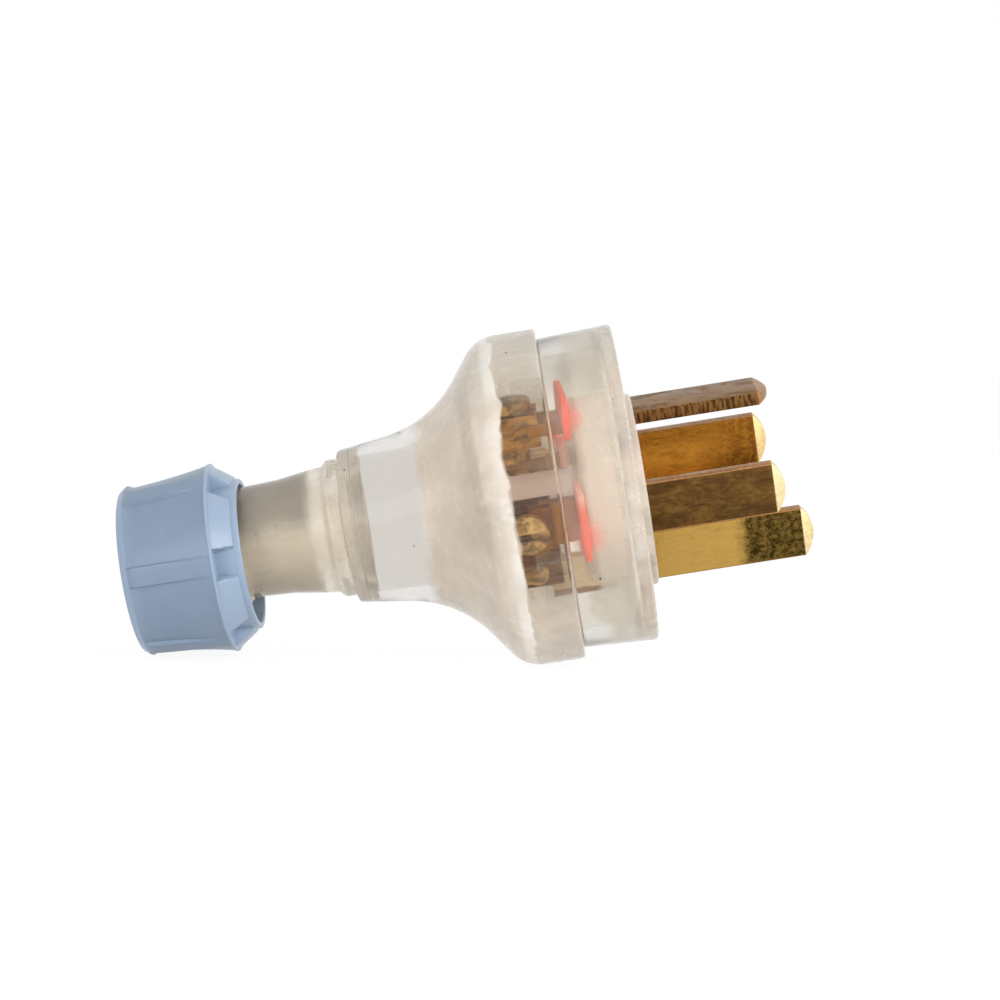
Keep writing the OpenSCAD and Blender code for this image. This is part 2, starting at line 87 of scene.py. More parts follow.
class PlugBaseSizes(bpy.types.PropertyGroup):
    """Sizes of the milky base"""
    front_r: length("Front radius", "Radius of the base at its front rim", 20.0)
    draft: length("Draft", "How much the base narrows to the cover", 0.4)
    show_l: length("Shown length", "Length of base in front of the cover", 9.4)
    wall: length("Wall", "Wall of the skirt", 1.6)
    front_wall: length("Front wall", "Thickness of the front", 1.45)
    block_depth: length("Block depth", "Depth of the block that holds the blades", 6.3)
    block_r: length("Block radius", "Radius of that block", 11.7)
    spigot_l: length("Spigot length", "Length of base inside the cover", 4.0)
    boss_r: length("Boss radius", "Radius of the raised boss", 12.1)
    boss_h: length("Boss height", "Height of the raised boss", 1.1)
    boss_shift: length("Boss shift", "Offset of the boss towards the earth blade", 1.15)
    post_r: length("Post radius", "Radius of the middle post", 3.1)
    roll: angle("Pattern roll", "Turn of the blade pattern about the plug's axis", 16.5)


class PlugCoverSizes(bpy.types.PropertyGroup):
    """Sizes of the bell-shaped cover"""
    step: length("Lip step", "Step from the base out to the cover's lip", 1.3)
    wall: length("Wall", "Wall of the cover", 2.2)
    band_l: length("Band length", "Round band at the lip", 5.1)
    shoulder_r: length("Shoulder radius", "Radius of the shoulder", 4.9)
    slope: angle("Slope", "Slope between shoulder and throat", 53)
    throat_r: length("Throat radius", "Radius of the hollow curve", 14.2)
    taper: angle("Rear taper", "Taper of the rear band", 8)
    end_r: length("Rear radius", "Radius of the cover at its rear end", 9.65)
    length: length("Length", "Cover from lip to rear end", 26.9)
    rear_wall: length("Rear wall", "Thickness of the rear end", 1.7)
    key_turn: angle("Key turn", "Turn of the inside keys", 53)
    keys: IntProperty(name="Keys", description="Keys inside the cover", default=6, min=0, max=12)
    bridge_w: length("Bridge width", "Width of the bridge across the inside", 7.4)
    bridge_t: length("Bridge thickness", "Thickness of that bridge", 2.3)


class PlugBladeSizes(bpy.types.PropertyGroup):
    """Sizes of the blades and their terminals"""
    width: length("Width", "Width of a blade", 6.35)
    thickness: length("Thickness", "Thickness of a blade", 1.6)
    phase_l: length("Phase length", "Phase blade in front of the boss", 16.8)
    earth_l: length("Earth length", "Earth blade in front of the boss", 20.5)
    phase_pitch: length("Phase distance", "Phase blade from the plug's axis", 9.35)
    earth_pitch: length("Earth distance", "Earth blade from the plug's axis", 10.0)
    tip_r: length("Tip radius", "Radius of a blade's rounded end", 4.5)
    bevel_l: length("Bevel length", "Length of the end's bevel", 1.35)
    bevel_d: length("Bevel depth", "Depth of that bevel", 0.45)
    edge: length("Edge", "Rounding of a blade's edges", 0.16)
    earth_terminal: length("Earth terminal", "Earth terminal from the plug's axis", 8.8)
    terminal_w: length("Tail width", "Width of a blade's tail", 5.3)
    terminal_h: length("Terminal height", "Height of a terminal block", 4.1)
    terminal_l: length("Terminal length", "Length of a terminal block", 5.2)
    terminal_z: length("Terminal depth", "Terminal behind the rim", 13.6)
    screw_r: length("Screw radius", "Radius of a terminal screw", 1.45)
    head_r: length("Head radius", "Radius of its head", 2.4)
    head_h: length("Head height", "Height of its head", 1.9)
    screw_past: length("Screw end", "Screw past its block", 2.3)


class PlugNeckSizes(bpy.types.PropertyGroup):
    """Sizes of the soft neck and its bush"""
    front_r: length("Front radius", "Neck where it leaves the cover", 8.0)
    rear_r: length("Rear radius", "Neck where it enters the nut", 6.95)
    collar_r: length("Collar radius", "Collar against the cover", 8.7)
    collar_l: length("Collar length", "Length of that collar", 1.6)
    flange_r: length("Flange radius", "Flange inside the cover", 8.7)
    flange_t: length("Flange thickness", "Thickness of that flange", 1.4)
    show_l: length("Shown length", "Neck between cover and nut", 12.8)
    thread_r: length("Thread radius", "Thread over its crests", 8.2)
    thread_l: length("Thread length", "Length of the thread", 6.2)
    thread_pitch: length("Thread pitch", "Travel for one turn", 1.5)
    bush_r: length("Bush radius", "Outside of the grip bush", 5.65)
    cord_r: length("Cord radius", "Hole through the bush", 4.4)
    head_r: length("Bush head radius", "Head of the bush", 6.9)
    head_l: length("Bush head length", "Length of that head", 1.6)
    sag: length("Sag", "How far the nut hangs below the axis", 1.4)


class PlugNutSizes(bpy.types.PropertyGroup):
    """Sizes of the gland nut"""
    grip_l: length("Grip length", "Length of the gripping part", 11.35)
    rear_r: length("Rear radius", "Radius at the rear end", 10.8)
    rear_edge: length("Rear edge", "Rounded band at the rear end", 0.9)
    front_r: length("Front radius", "Radius at the front of the grip", 11.85)
    flat_depth: length("Flat depth", "Depth of the panels", 0.35)
    ribs: IntProperty(name="Ribs", description="Ribs round the nut", default=6, min=3, max=12)
    rib_w: length("Rib width", "Width of a rib", 2.45)
    rib_h: length("Rib height", "Height of a rib at the rear", 0.32)
    lip_r: length("Lip radius", "Radius of the thin lip", 11.95)
    lip_w: length("Lip width", "Width of the thin lip", 0.4)
    lug_l: length("Lug length", "Tapered lugs in front of the lip", 2.15)
    lug_r: length("Lug radius", "Radius of the lugs at the lip", 11.6)
    notch_w: length("Notch width", "Notches between the lugs", 3.7)
    collar_r: length("Collar radius", "Collar at the mouth", 9.55)
    collar_l: length("Collar length", "Length of that collar", 1.1)
    mouth_r: length("Mouth radius", "Inside of the mouth", 8.85)
    hole_r: length("Hole radius", "Cord hole in the rear wall", 6.2)


class PlugFinish(bpy.types.PropertyGroup):
    """Colours of the mouldings and metals"""
    clear: colour("Clear plastic", "Tint of the clear cover", (0.81, 0.79, 0.76))
    fog: colour("Fog", "Colour of the cover where it is fogged and scuffed", (0.82, 0.745, 0.655))
    base: colour("Base plastic", "Tint of the base", (0.87, 0.845, 0.79))
    frost: colour("Frost", "Colour of the frosted base", (0.80, 0.75, 0.66))
    # the milky block's pink is partly painted red light of the plates behind it
    milky: colour("Milky plastic", "Tint of the milky block", (0.86, 0.72, 0.65))
    bush: colour("Bush", "Soft beige of the grip bush", (0.56, 0.475, 0.365))
    nut: colour("Nut", "Pale blue of the gland nut", (0.185, 0.25, 0.345))
    red: colour("Red plates", "Insulating plates behind the block", (1.0, 0.09, 0.035))
    brown: colour("Browned brass", "Top blade", (0.25, 0.135, 0.048))
    dark: colour("Dark brass", "Near blade", (0.20, 0.105, 0.028))
    orange: colour("Orange brass", "Far blade", (0.57, 0.24, 0.030))
    yellow: colour("Yellow brass", "Earth blade", (0.51, 0.31, 0.078))


class PlugStage(bpy.types.PropertyGroup):
    """Camera, lamps and floor"""
    azimuth: angle("Azimuth", "Camera's turn round the plug", -0.83)
    elevation: angle("Elevation", "Camera above the floor's plane", 3.87)
    roll: angle("Roll", "Camera's roll", 1.23)
    distance: length("Distance", "Camera from its target", 317.8, high=2.0)
    target_x: length("Target along", "Target's place along the plug", 4.09, low=-0.1)
    target_z: length("Target height", "Target's height", 20.52)
    lens: FloatProperty(
        name="Lens", description="Focal length", default=90.85, min=10, max=300, unit="CAMERA",
    )
    floor: colour("Floor", "Pale floor", (0.93, 0.93, 0.93))


def in_mm(group):
    """A group's values, with lengths in millimetres and angles in radians."""
    values = SimpleNamespace()
    for prop in group.bl_rna.properties:
        if prop.identifier in {"rna_type", "name"}:
            continue
        value = getattr(group, prop.identifier)
        if prop.type == "FLOAT" and getattr(prop, "unit", "NONE") == "LENGTH":
            value = value / MM
        setattr(values, prop.identifier, value)
    return values


def sizes(*groups):
    """The values of the named groups, in millimetres."""
    return [in_mm(getattr(bpy.context.scene, "plug_" + group)) for group in groups]


# ---- lesser sizes in millimetres -----------------------------------------------------------------

GAP = 0.03  # between pieces that seat on each other
CONTACT = 0.02  # clear mouldings pressed together overlap this much, so that no air shows between them
BOSS_SINK = 0.7  # the boss reaches this far into the base
SPIGOT_IN = 0.5  # the spigot lies this far in from the base's side
KEY_W = 0.9  # half the width of a key on the cover, and the depth of its notch in the spigot
KEY_END = 0.4  # a key stops this far behind the lip
POST_PAST = 3.4  # the middle post goes this far past the spigot
SCREW_BORE_R = 1.63  # hole for the cover screw
COUNTERBORE_R, COUNTERBORE_D = 2.93, 3.3
HUB_R, HUB_L = 4.2, 4.8
INSERT_R, INSERT_L = 2.63, 4.2
BLADE_END = 0.2  # a blade's full width ends this far in front of the block's rear face
TAIL_SEAT = 1.35  # a blade's tail inside its terminal
TERMINAL_SCREW_BACK = 0.3  # a terminal's screw behind the middle of its block
HEAD_DOME = 0.62
SCREW_SLOT_W, SCREW_SLOT_D = 0.45, 1.0
PLATE_IN, PLATE_OUT, PLATE_W, PLATE_T = 1.3, 4.2, 4.2, 0.8
THREAD_BACK = 1.9  # the neck's thread starts this far inside the nut's mouth
THREAD_DEPTH, NUT_THREAD_DEPTH = 0.75, 0.42
THREAD_CLEAR = 0.05  # between the neck's thread and the nut's bore
THREAD_RUN_OUT = 0.8
BUSH_BACK = 3.7  # the grip bush starts this far behind the cover
RING_BACK, RING_T = 1.55, 1.4  # the thrust ring behind the bush's head
RING_ROOM_R = 7.65  # the nut's bore round the thrust ring
NUT_THREAD_BACK = 1.6  # the nut's thread starts this far behind the neck's
NUT_THREAD_PAST = 1.65  # and ends this far past it
NUT_PIVOT = 5  # the nut's joint in front of its rear end
PRESSED_ALPHA = 0.12


def stations():
    """Places along the plug: 0 at the base's rim and negative towards the nut."""
    base, cover, neck, nut = sizes("base", "cover", "neck", "nut")
    z = SimpleNamespace()
    z.lip = -base.show_l
    z.spigot = z.lip - base.spigot_l
    z.seat = z.spigot - GAP
    z.post = z.spigot - POST_PAST
    z.bridge = z.post - GAP
    z.shoulder = z.lip - cover.band_l
    z.cover_end = z.lip - cover.length
    z.rear_wall = z.cover_end + cover.rear_wall
    z.flange = z.rear_wall + GAP
    z.collar = z.cover_end - GAP
    z.mouth = z.cover_end - neck.show_l
    z.nut_collar = z.mouth - nut.collar_l
    z.lug = z.nut_collar - nut.lug_l
    z.grip = z.lug - nut.lip_w
    z.nut_rear = z.grip - nut.grip_l
    z.thread = z.mouth - THREAD_BACK
    z.thread_end = z.thread - neck.thread_l
    z.bush_front = z.cover_end - BUSH_BACK
    z.bush_head = z.thread_end - GAP
    z.bush_end = z.bush_head - neck.head_l
    z.ring = z.bush_end - RING_BACK
    z.ring_end = z.ring - RING_T
    return z


def plug_frame(drop=0.0):
    """Takes plug millimetres (X up, Y across, Z towards the blades) to the row frame.

    drop lowers the result across the axis.
    """
    (neck,) = sizes("neck")
    turn = JOINTS["nut_turn"]
    along = Vector(turn["axis"]).normalized()
    up = Vector((-along.z, 0, along.x))
    across = along.cross(up)
    pivot_z = stations().nut_rear + NUT_PIVOT
    origin = Vector(turn["pos_m"]) - along * pivot_z * MM + up * (neck.sag - drop) * MM
    axes = Matrix((up, across, along)).transposed().to_4x4()
    return Matrix.Translation(origin) @ axes @ Matrix.Scale(MM, 4)


def blade_frame(blade, pitch, z=0.0):
    """The frame of one blade or terminal: X outwards, Y across the blade, Z along the plug."""
    (base,) = sizes("base")
    return (plug_frame() @ Matrix.Rotation(base.roll + math.radians(TURNS[blade]), 4, "Z")
            @ Matrix.Translation((pitch, 0, z))
            @ Matrix.Rotation(math.radians(FACE_TURNS[blade]), 4, "Z"))


def per_blade(phase, earth):
    """One value for each blade, in the order top, near, far and earth."""
    return (phase,) * 3 + (earth,)


def key_frames(cover):
    """The frames of the keys round the cover's inside."""
    place, step = plug_frame(), 2 * math.pi / cover.keys
    return [place @ Matrix.Rotation(cover.key_turn + i * step, 4, "Z") for i in range(cover.keys)]


# ---- mesh tools ----------------------------------------------------------------------------------

SHARP = 32  # degrees between two faces from which their edge isn't shaded smooth


def clamp(value):
    return min(max(value, 0.0), 1.0)


def smooth(value):
    value = clamp(value)
    return value * value * (3 - 2 * value)


def soften(points, steps=4):
    """Rounds the corners of a closed outline of (radius, z, rounding)."""
    out = []
    for i, (r, z, rounding) in enumerate(points):
        corner = Vector((r, z))
        before = Vector(points[i - 1][:2]) - corner
        after = Vector(points[(i + 1) % len(points)][:2]) - corner
        if rounding <= 0 or before.length < 1e-6 or after.length < 1e-6:
            out.append(corner)
            continue
        half = max(before.angle(after) / 2, 0.05)
        reach = min(rounding / math.tan(half), 0.48 * before.length, 0.48 * after.length)
        a = corner + before.normalized() * reach
        b = corner + after.normalized() * reach
        for k in range(steps + 1):
            t = k / steps
            out.append(a * (1 - t) ** 2 + corner * 2 * t * (1 - t) + b * t ** 2)
    return out


def arc(cx, cz, r, a, b, steps):
    """Outline points round a centre, from angle a to angle b."""
    turns = [a + (b - a) * i / steps for i in range(steps + 1)]
    return [(cx + r * math.cos(t), cz + r * math.sin(t), 0) for t in turns]


def new_piece(name, mesh, place, sharp=SHARP):
    """Puts a mesh into the scene, smooth but for edges sharper than the given degrees."""
    mesh.validate()
    mesh.update()
    mesh.shade_smooth()
    mesh.set_sharp_from_angle(angle=math.radians(sharp))
    piece = bpy.data.objects.new(name, mesh)
    bpy.context.scene.collection.objects.link(piece)
    piece.matrix_world = place
    return piece


def to_mesh(name, verts, faces):
    """A clean mesh with its faces turned outwards."""
    mesh = bpy.data.meshes.new(name)
    mesh.from_pydata(verts, [], faces)
    tidy = bmesh.new()
    tidy.from_mesh(mesh)
    bmesh.ops.remove_doubles(tidy, verts=tidy.verts, dist=1e-4)
    bmesh.ops.dissolve_degenerate(tidy, edges=tidy.edges, dist=1e-5)
    bmesh.ops.recalc_face_normals(tidy, faces=tidy.faces)
    tidy.to_mesh(mesh)
    tidy.free()
    return mesh


def turned(name, outline, place, steps=192, shape=None, sharp=SHARP):
    """Spins a closed outline about Z. shape(radius, angle, z) may move each point."""
    verts, faces = [], []
    count = len(outline)
    for j in range(steps):
        a = 2 * math.pi * j / steps
        for p in outline:
            r, z, dx = p[0], p[1], 0.0
            if shape:
                r, z, dx = shape(p[0], a, p[1])
            verts.append((r * math.cos(a) + dx, r * math.sin(a), z))
    for j in range(steps):
        k = (j + 1) % steps
        for i in range(count):
            n = (i + 1) % count
            faces.append((j * count + i, j * count + n, k * count + n, k * count + i))
    return new_piece(name, to_mesh(name, verts, faces), place, sharp)


def rod(name, r, low, high, place):
    """A plain round bar, used as a tool to cut with."""
    return turned(name, [(0, low), (r, low), (r, high), (0, high)], place, steps=64)


def block(name, low, high, place):
    """A plain box, used as a tool to cut or join with."""
    x, y, z = zip(low, high)
    verts = [(x[i], y[j], z[k]) for i in (0, 1) for j in (0, 1) for k in (0, 1)]
    faces = [(0, 1, 3, 2), (4, 6, 7, 5), (0, 4, 5, 1), (2, 3, 7, 6), (0, 2, 6, 4), (1, 5, 7, 3)]
    return new_piece(name, to_mesh(name, verts, faces), place)


def prism(name, outline, depth, place):
    """An outline of (y, z) pushed out along X by depth each way."""
    n = len(outline)
    verts = [(x, y, z) for x in (-depth, depth) for y, z in outline]
    faces = [tuple(range(n)), tuple(range(n, 2 * n))]
    faces += [(i, (i + 1) % n, n + (i + 1) % n, n + i) for i in range(n)]
    return new_piece(name, to_mesh(name, verts, faces), place)


def bake(piece):
    """Turns a piece's modifiers into its mesh."""
    view = bpy.context.evaluated_depsgraph_get()
    mesh = bpy.data.meshes.new_from_object(piece.evaluated_get(view))
    old = piece.data
    piece.modifiers.clear()
    piece.data = mesh
    bpy.data.meshes.remove(old)
    mesh.shade_smooth()
    mesh.set_sharp_from_angle(angle=math.radians(SHARP))
    return piece


def work(piece, tools, how="DIFFERENCE"):
    """Cuts with, joins or keeps the overlap of some tools, which are used up."""
    for tool in tools:
        cut = piece.modifiers.new(how.lower(), "BOOLEAN")
        cut.operation = how
        cut.solver = "EXACT"
        cut.object = tool
        bpy.context.view_layer.update()
        bake(piece)
        bpy.data.objects.remove(tool)
    return piece


def bevel(piece, width, segments=2, limit=30):
    """Rounds the edges that are sharper than limit degrees."""
    ease(piece, width, segments, limit)
    return bake(piece)


def ease(piece, width, segments, limit):
    """Adds a bevel on edges that are sharper than limit degrees."""
    edge = piece.modifiers.new("edges", "BEVEL")
    edge.width = width
    edge.segments = segments
    edge.limit_method = "ANGLE"
    edge.angle_limit = math.radians(limit)


# ---- material tools ------------------------------------------------------------------------------

def tone(tint, share):
    """A darker or lighter tone of a colour."""
    return tuple(min(1, c * share) for c in tint)


class Nodes:
    """The node tree of a material or world, with short calls for the nodes used here."""

    def __init__(self, owner, end):
        owner.use_nodes = True
        self.tree = owner.node_tree
        self.tree.nodes.clear()
        self.out = self.tree.nodes.new("ShaderNode" + end)

    def put(self, socket, value):
        """Links or sets a socket. A colour of three numbers is made opaque."""
        if isinstance(value, bpy.types.NodeSocket):
            self.tree.links.new(value, socket)
        elif hasattr(value, "__len__") and len(value) == 3 and len(getattr(socket, "default_value", ())) == 4:
            socket.default_value = (*value, 1.0)
        else:
            socket.default_value = value

    def node(self, kind, out=0, **inputs):
        made = self.tree.nodes.new("ShaderNode" + kind)
        for key, value in inputs.items():
            self.put(made.inputs[key.replace("_", " ")], value)
        return made.outputs[out]

    def end(self, shader):
        self.put(self.out.inputs["Surface"], shader)

    def ray(self, kind):
        """1 for a ray of this kind."""
        return self.node("LightPath", "Is " + kind + " Ray")

    def blend(self, share, first, second):
        """Goes from the first shader to the second as share goes from 0 to 1."""
        made = self.tree.nodes.new("ShaderNodeMixShader")
        for i, value in enumerate((share, first, second)):
            self.put(made.inputs[i], value)
        return made.outputs[0]

    def ramp(self, value, low, high, to_low=0.0, to_high=1.0):
        """Goes smoothly from to_low to to_high as value goes from low to high."""
        made = self.tree.nodes.new("ShaderNodeMapRange")
        made.interpolation_type = "SMOOTHSTEP"
        for i, v in enumerate((value, low, high, to_low, to_high)):
            self.put(made.inputs[i], v)
        return made.outputs[0]

    def falls(self, value, low, high):
        return self.ramp(value, low, high, 1.0, 0.0)

    def band(self, value, low, full, end, high):
        """Rises from low to full and falls from end to high."""
        return self.times(self.ramp(value, low, full), self.falls(value, end, high))

    def math(self, how, a, b=0.0):
        made = self.tree.nodes.new("ShaderNodeMath")
        made.operation = how
        self.put(made.inputs[0], a)
        self.put(made.inputs[1], b)
        return made.outputs[0]

    def times(self, *values):
        return reduce(lambda a, b: self.math("MULTIPLY", a, b), values)

    def plus(self, a, b):
        return self.math("ADD", a, b)

    def minus(self, a, b):
        return self.math("SUBTRACT", a, b)

    def most(self, *values):
        return reduce(lambda a, b: self.math("MAXIMUM", a, b), values)

    def length(self, a, b):
        return self.math("SQRT", self.plus(self.times(a, a), self.times(b, b)))


class Finish(Nodes):
    """A material in plug millimetres, made of one Principled shader."""

    def __init__(self, name, place=None):
        self.material = bpy.data.materials.new(name)
        super().__init__(self.material, "OutputMaterial")
        self.shader = self.tree.nodes.new("ShaderNodeBsdfPrincipled")
        self.end(self.shader.outputs[0])
        back = (place or plug_frame()).inverted()
        self.place = self.scaled(
            self.node("TexCoord", "Object"), back.to_scale(), back.to_translation(), back.to_euler(),
        )

    def set(self, **values):
        for key, value in values.items():
            self.put(self.shader.inputs[key.replace("_", " ")], value)

    def scaled(self, vector, scale, offset=(0, 0, 0), rotation=(0, 0, 0)):
        return self.node("Mapping", Vector=vector, Scale=scale, Location=offset, Rotation=rotation)

    def axis(self, which):
        return self.node("SeparateXYZ", "XYZ".index(which), Vector=self.place)

    def noise(self, scale, detail=4.0, rough=0.5, stretch=(1, 1, 1), offset=(0, 0, 0), warp=0.0):
        return self.node(
            "TexNoise", Vector=self.scaled(self.place, stretch, offset), Scale=scale, Detail=detail,
            Roughness=rough, Distortion=warp,
        )

    def wander(self, scale, detail, rough, warp, reach):
        """Noise about 0, to make a line wander by about this many millimetres."""
        return self.times(self.minus(self.noise(scale, detail, rough, warp=warp), 0.5), reach)

    def dots(self, scale, size, patch, where, offset=(0, 0, 0)):
        """Small spots of (full, faint) size. They lie only where a coarse noise is above where."""
        cells = self.node("TexVoronoi", Vector=self.scaled(self.place, (1, 1, 1)), Scale=scale)
        patches = self.ramp(self.noise(patch, 2, 0.5, offset=offset), *where)
        return self.times(self.falls(cells, *size), patches)

    def mix(self, factor, a, b):
        made = self.tree.nodes.new("ShaderNodeMix")
        made.data_type = "RGBA"
        made.blend_type = "MIX"
        for i, value in ((0, factor), (6, a), (7, b)):
            self.put(made.inputs[i], value)
        return made.outputs[2]

    def bump(self, height, distance, strength=1.0, normal=None):
        extra = {} if normal is None else {"Normal": normal}
        return self.node("Bump", Height=height, Distance=distance, Strength=strength, **extra)

    def let_shadow_through(self, tint, share):
        """Shadow rays pass through the clear plastic with a tint instead of going black."""
        clear = self.node("BsdfTransparent", Color=tint)
        self.end(self.blend(self.times(self.ray("Shadow"), share), self.shader.outputs[0], clear))


# ---- clear plastic -------------------------------------------------------------------------------

# (station, haze) from the front to the rear
BASE_HAZE = (
    (1.1, 0.42), (-1.0, 0.42), (-1.6, 0.30), (-5.4, 0.26), (-6.4, 0.06), (-8.6, 0.08), (-9.6, 0.01),
    (-13, 0.01),
)
# the cover's peak from -15.4 to -17 is partly scuff and partly a painted highlight band on the shoulder
COVER_HAZE = (
    (-9.4, 0.02), (-13.8, 0.01), (-14.9, 0.01), (-15.4, 0.72), (-17.0, 0.62), (-18.2, 0.46), (-24.6, 0.42),
    (-27.2, 0.02), (-33.0, 0.03), (-36.3, 0.12),
)
NECK_HAZE = ((-33.0, 0.36), (-35.0, 0.36), (-35.8, 0.28), (-40.0, 0.36), (-41.5, 0.12), (-48.0, 0.12))
WIDE_ZONE = 2.0
COVER_THROAT = -25
LIP_TINT = (0.95, 0.92, 0.87)
# thick fog, which on the cover's shoulder is also a painted highlight band
THICK_FOG_AND_HIGHLIGHT = (0.88, 0.84, 0.78)
# painted shade: the tops of the base and the cover are darkened towards this colour
PAINTED_TOP_SHADE = (0.60, 0.57, 0.50)
# painted light: red light of the plates, painted as a glow onto the milky block
PAINTED_PLATE_GLOW = (0.96, 0.34, 0.24)
PAINTED_PLATE_GLOWS = ((-4.6, 2.8), (9.4, 2.2))  # (height, reach) of the red glow of the near and the top plate
GRIT = (0.03, 0.025, 0.02)


def haze_along(f, zones, swing):
    """The haze at each station: the edges of wide zones wander by swing, those of narrow ones are jagged."""
    wide = f.plus(f.axis("Z"), f.wander(0.13, 3, 0.5, 0.5, swing))
    tight = f.plus(f.axis("Z"), f.wander(0.20, 2, 0.5, 0.4, 2.2))
    haze = zones[0][1]
    for (z0, h0), (z1, h1) in zip(zones, zones[1:]):
        along = wide if z0 - z1 > WIDE_ZONE or z0 < COVER_THROAT else tight
        haze = f.plus(haze, f.ramp(along, z1, z0, h1 - h0, 0.0))
    return haze


def clouds(f):
    """The haze's unevenness, about 1."""
    cloud = f.ramp(f.noise(0.16, 3, 0.5, warp=0.6), 0.34, 0.70)
    scuff = f.ramp(f.noise(0.8, 4, 0.55, stretch=(1.0, 1.0, 0.30), warp=0.3), 0.46, 0.74)
    return f.ramp(f.plus(f.times(cloud, 0.8), f.times(scuff, 0.4)), 0, 1.2, 0.82, 1.16)


def clear_plastic(name, tint, zones, fog, rough=(0.04, 0.26), block=None, inside=None, far=None, lip=None,
                  alpha=1.0):
    """A clear moulding that is hazy in zones, with fog as the haze's colour.

    block is the (radius, depth, tint, haze) of a milky core. inside is the (radius, station, slope) of a
    line within which the moulding is milky. far is the (front, rear, haze) of the far side, the top and the
    bottom. lip is the (front, rear, tint) of the part round the terminals. alpha is low where two mouldings
    are pressed together.
    """
    f = Finish(name)
    x, y, z = f.axis("X"), f.axis("Y"), f.axis("Z")
    out = f.length(x, y)
    haze = haze_along(f, zones, 4.5 if inside or block else 0.5)
    if far:
        front, rear, more = far
        sides = f.most(f.falls(y, -8.0, -2.0), f.ramp(x, 12.0, 16.5), f.ramp(x, -15.0, -9.5, 0.9, 0.0))
        haze = f.plus(haze, f.times(sides, f.band(z, rear, rear + 1.0, front - 0.5, front), more))
    haze = f.times(haze, clouds(f))
    if inside:
        radius, station, slope = inside
        line = f.math("MINIMUM", f.plus(f.times(f.minus(z, station), slope), radius), radius + 3)
        core = f.falls(f.minus(out, line), -0.4, 0.0)
        haze = f.plus(f.times(haze, f.minus(1.0, core)), f.times(core, 0.55))
    shade = tint
    if lip:
        front, rear, light = lip
        shade = f.mix(f.band(z, rear - 1, rear + 1, front - 0.3, front + 0.3), tint, light)
    colour = f.mix(f.ramp(haze, 0.03, 0.30), shade, fog)
    # where the haze is thick: real fog, and a painted highlight band on the cover's shoulder
    colour = f.mix(f.ramp(haze, 0.46, 0.74, 0.0, 0.8), colour, THICK_FOG_AND_HIGHLIGHT)
    # painted shade: darker towards the top
    colour = f.mix(f.ramp(x, 11.0, 17.0, 0.0, 0.40), colour, PAINTED_TOP_SHADE)
    roughness = f.ramp(haze, 0.05, 0.6, *rough)
    if block:
        radius, depth, core, milk = block
        within = f.times(f.falls(out, radius, radius + 0.3), f.ramp(z, depth - 0.3, depth))
        within = f.times(within, f.ramp(z, -0.6, -0.2, 1.0, 0.25))
        within = f.most(within, f.falls(out, 3.3, 3.5))
        haze = f.plus(haze, f.times(within, milk))
        # the milky core's colour, whose pink is partly painted red light of the plates
        colour = f.mix(within, colour, core)
        # painted glow of the red plates, put into the block's colour and haze
        for height, reach in PAINTED_PLATE_GLOWS:
            glow = f.falls(f.length(f.minus(x, height), f.plus(z, 6.8)), 0.4, reach)
            glow = f.times(glow, f.ramp(y, 1.0, 5.0))
            colour = f.mix(f.times(glow, 0.6), colour, PAINTED_PLATE_GLOW)
            haze = f.plus(haze, f.times(glow, 0.12))
        roughness = f.plus(roughness, f.times(within, 0.2))
    grit = f.dots(0.42, (0.05, 0.075), 0.31, (0.58, 0.60), offset=(5, 2, 9))
    haze = f.most(haze, f.times(grit, 0.9))
    flow = f.noise(0.30, 3, 0.5, stretch=(1, 1, 0.35), warp=0.4)
    f.set(
        Base_Color=f.mix(grit, colour, GRIT), Transmission_Weight=f.minus(1.0, haze), Roughness=roughness,
        IOR=1.49, Specular_Tint=(0.4, 0.4, 0.4, 1), Alpha=alpha, Normal=f.bump(flow, 0.0003, 0.05),
    )
    f.let_shadow_through(tuple(c ** 0.4 for c in tint), 0.97)
    return f.material


def clear_pair(name, *looks, **more):
    """A clear moulding's finish, and the nearly see-through one of its pressed faces."""
    return [clear_plastic(name + end, *looks, alpha=alpha, **more)
            for end, alpha in (("", 1.0), ("_pressed", PRESSED_ALPHA))]


# ---- brass, rubber and blue plastic --------------------------------------------------------------

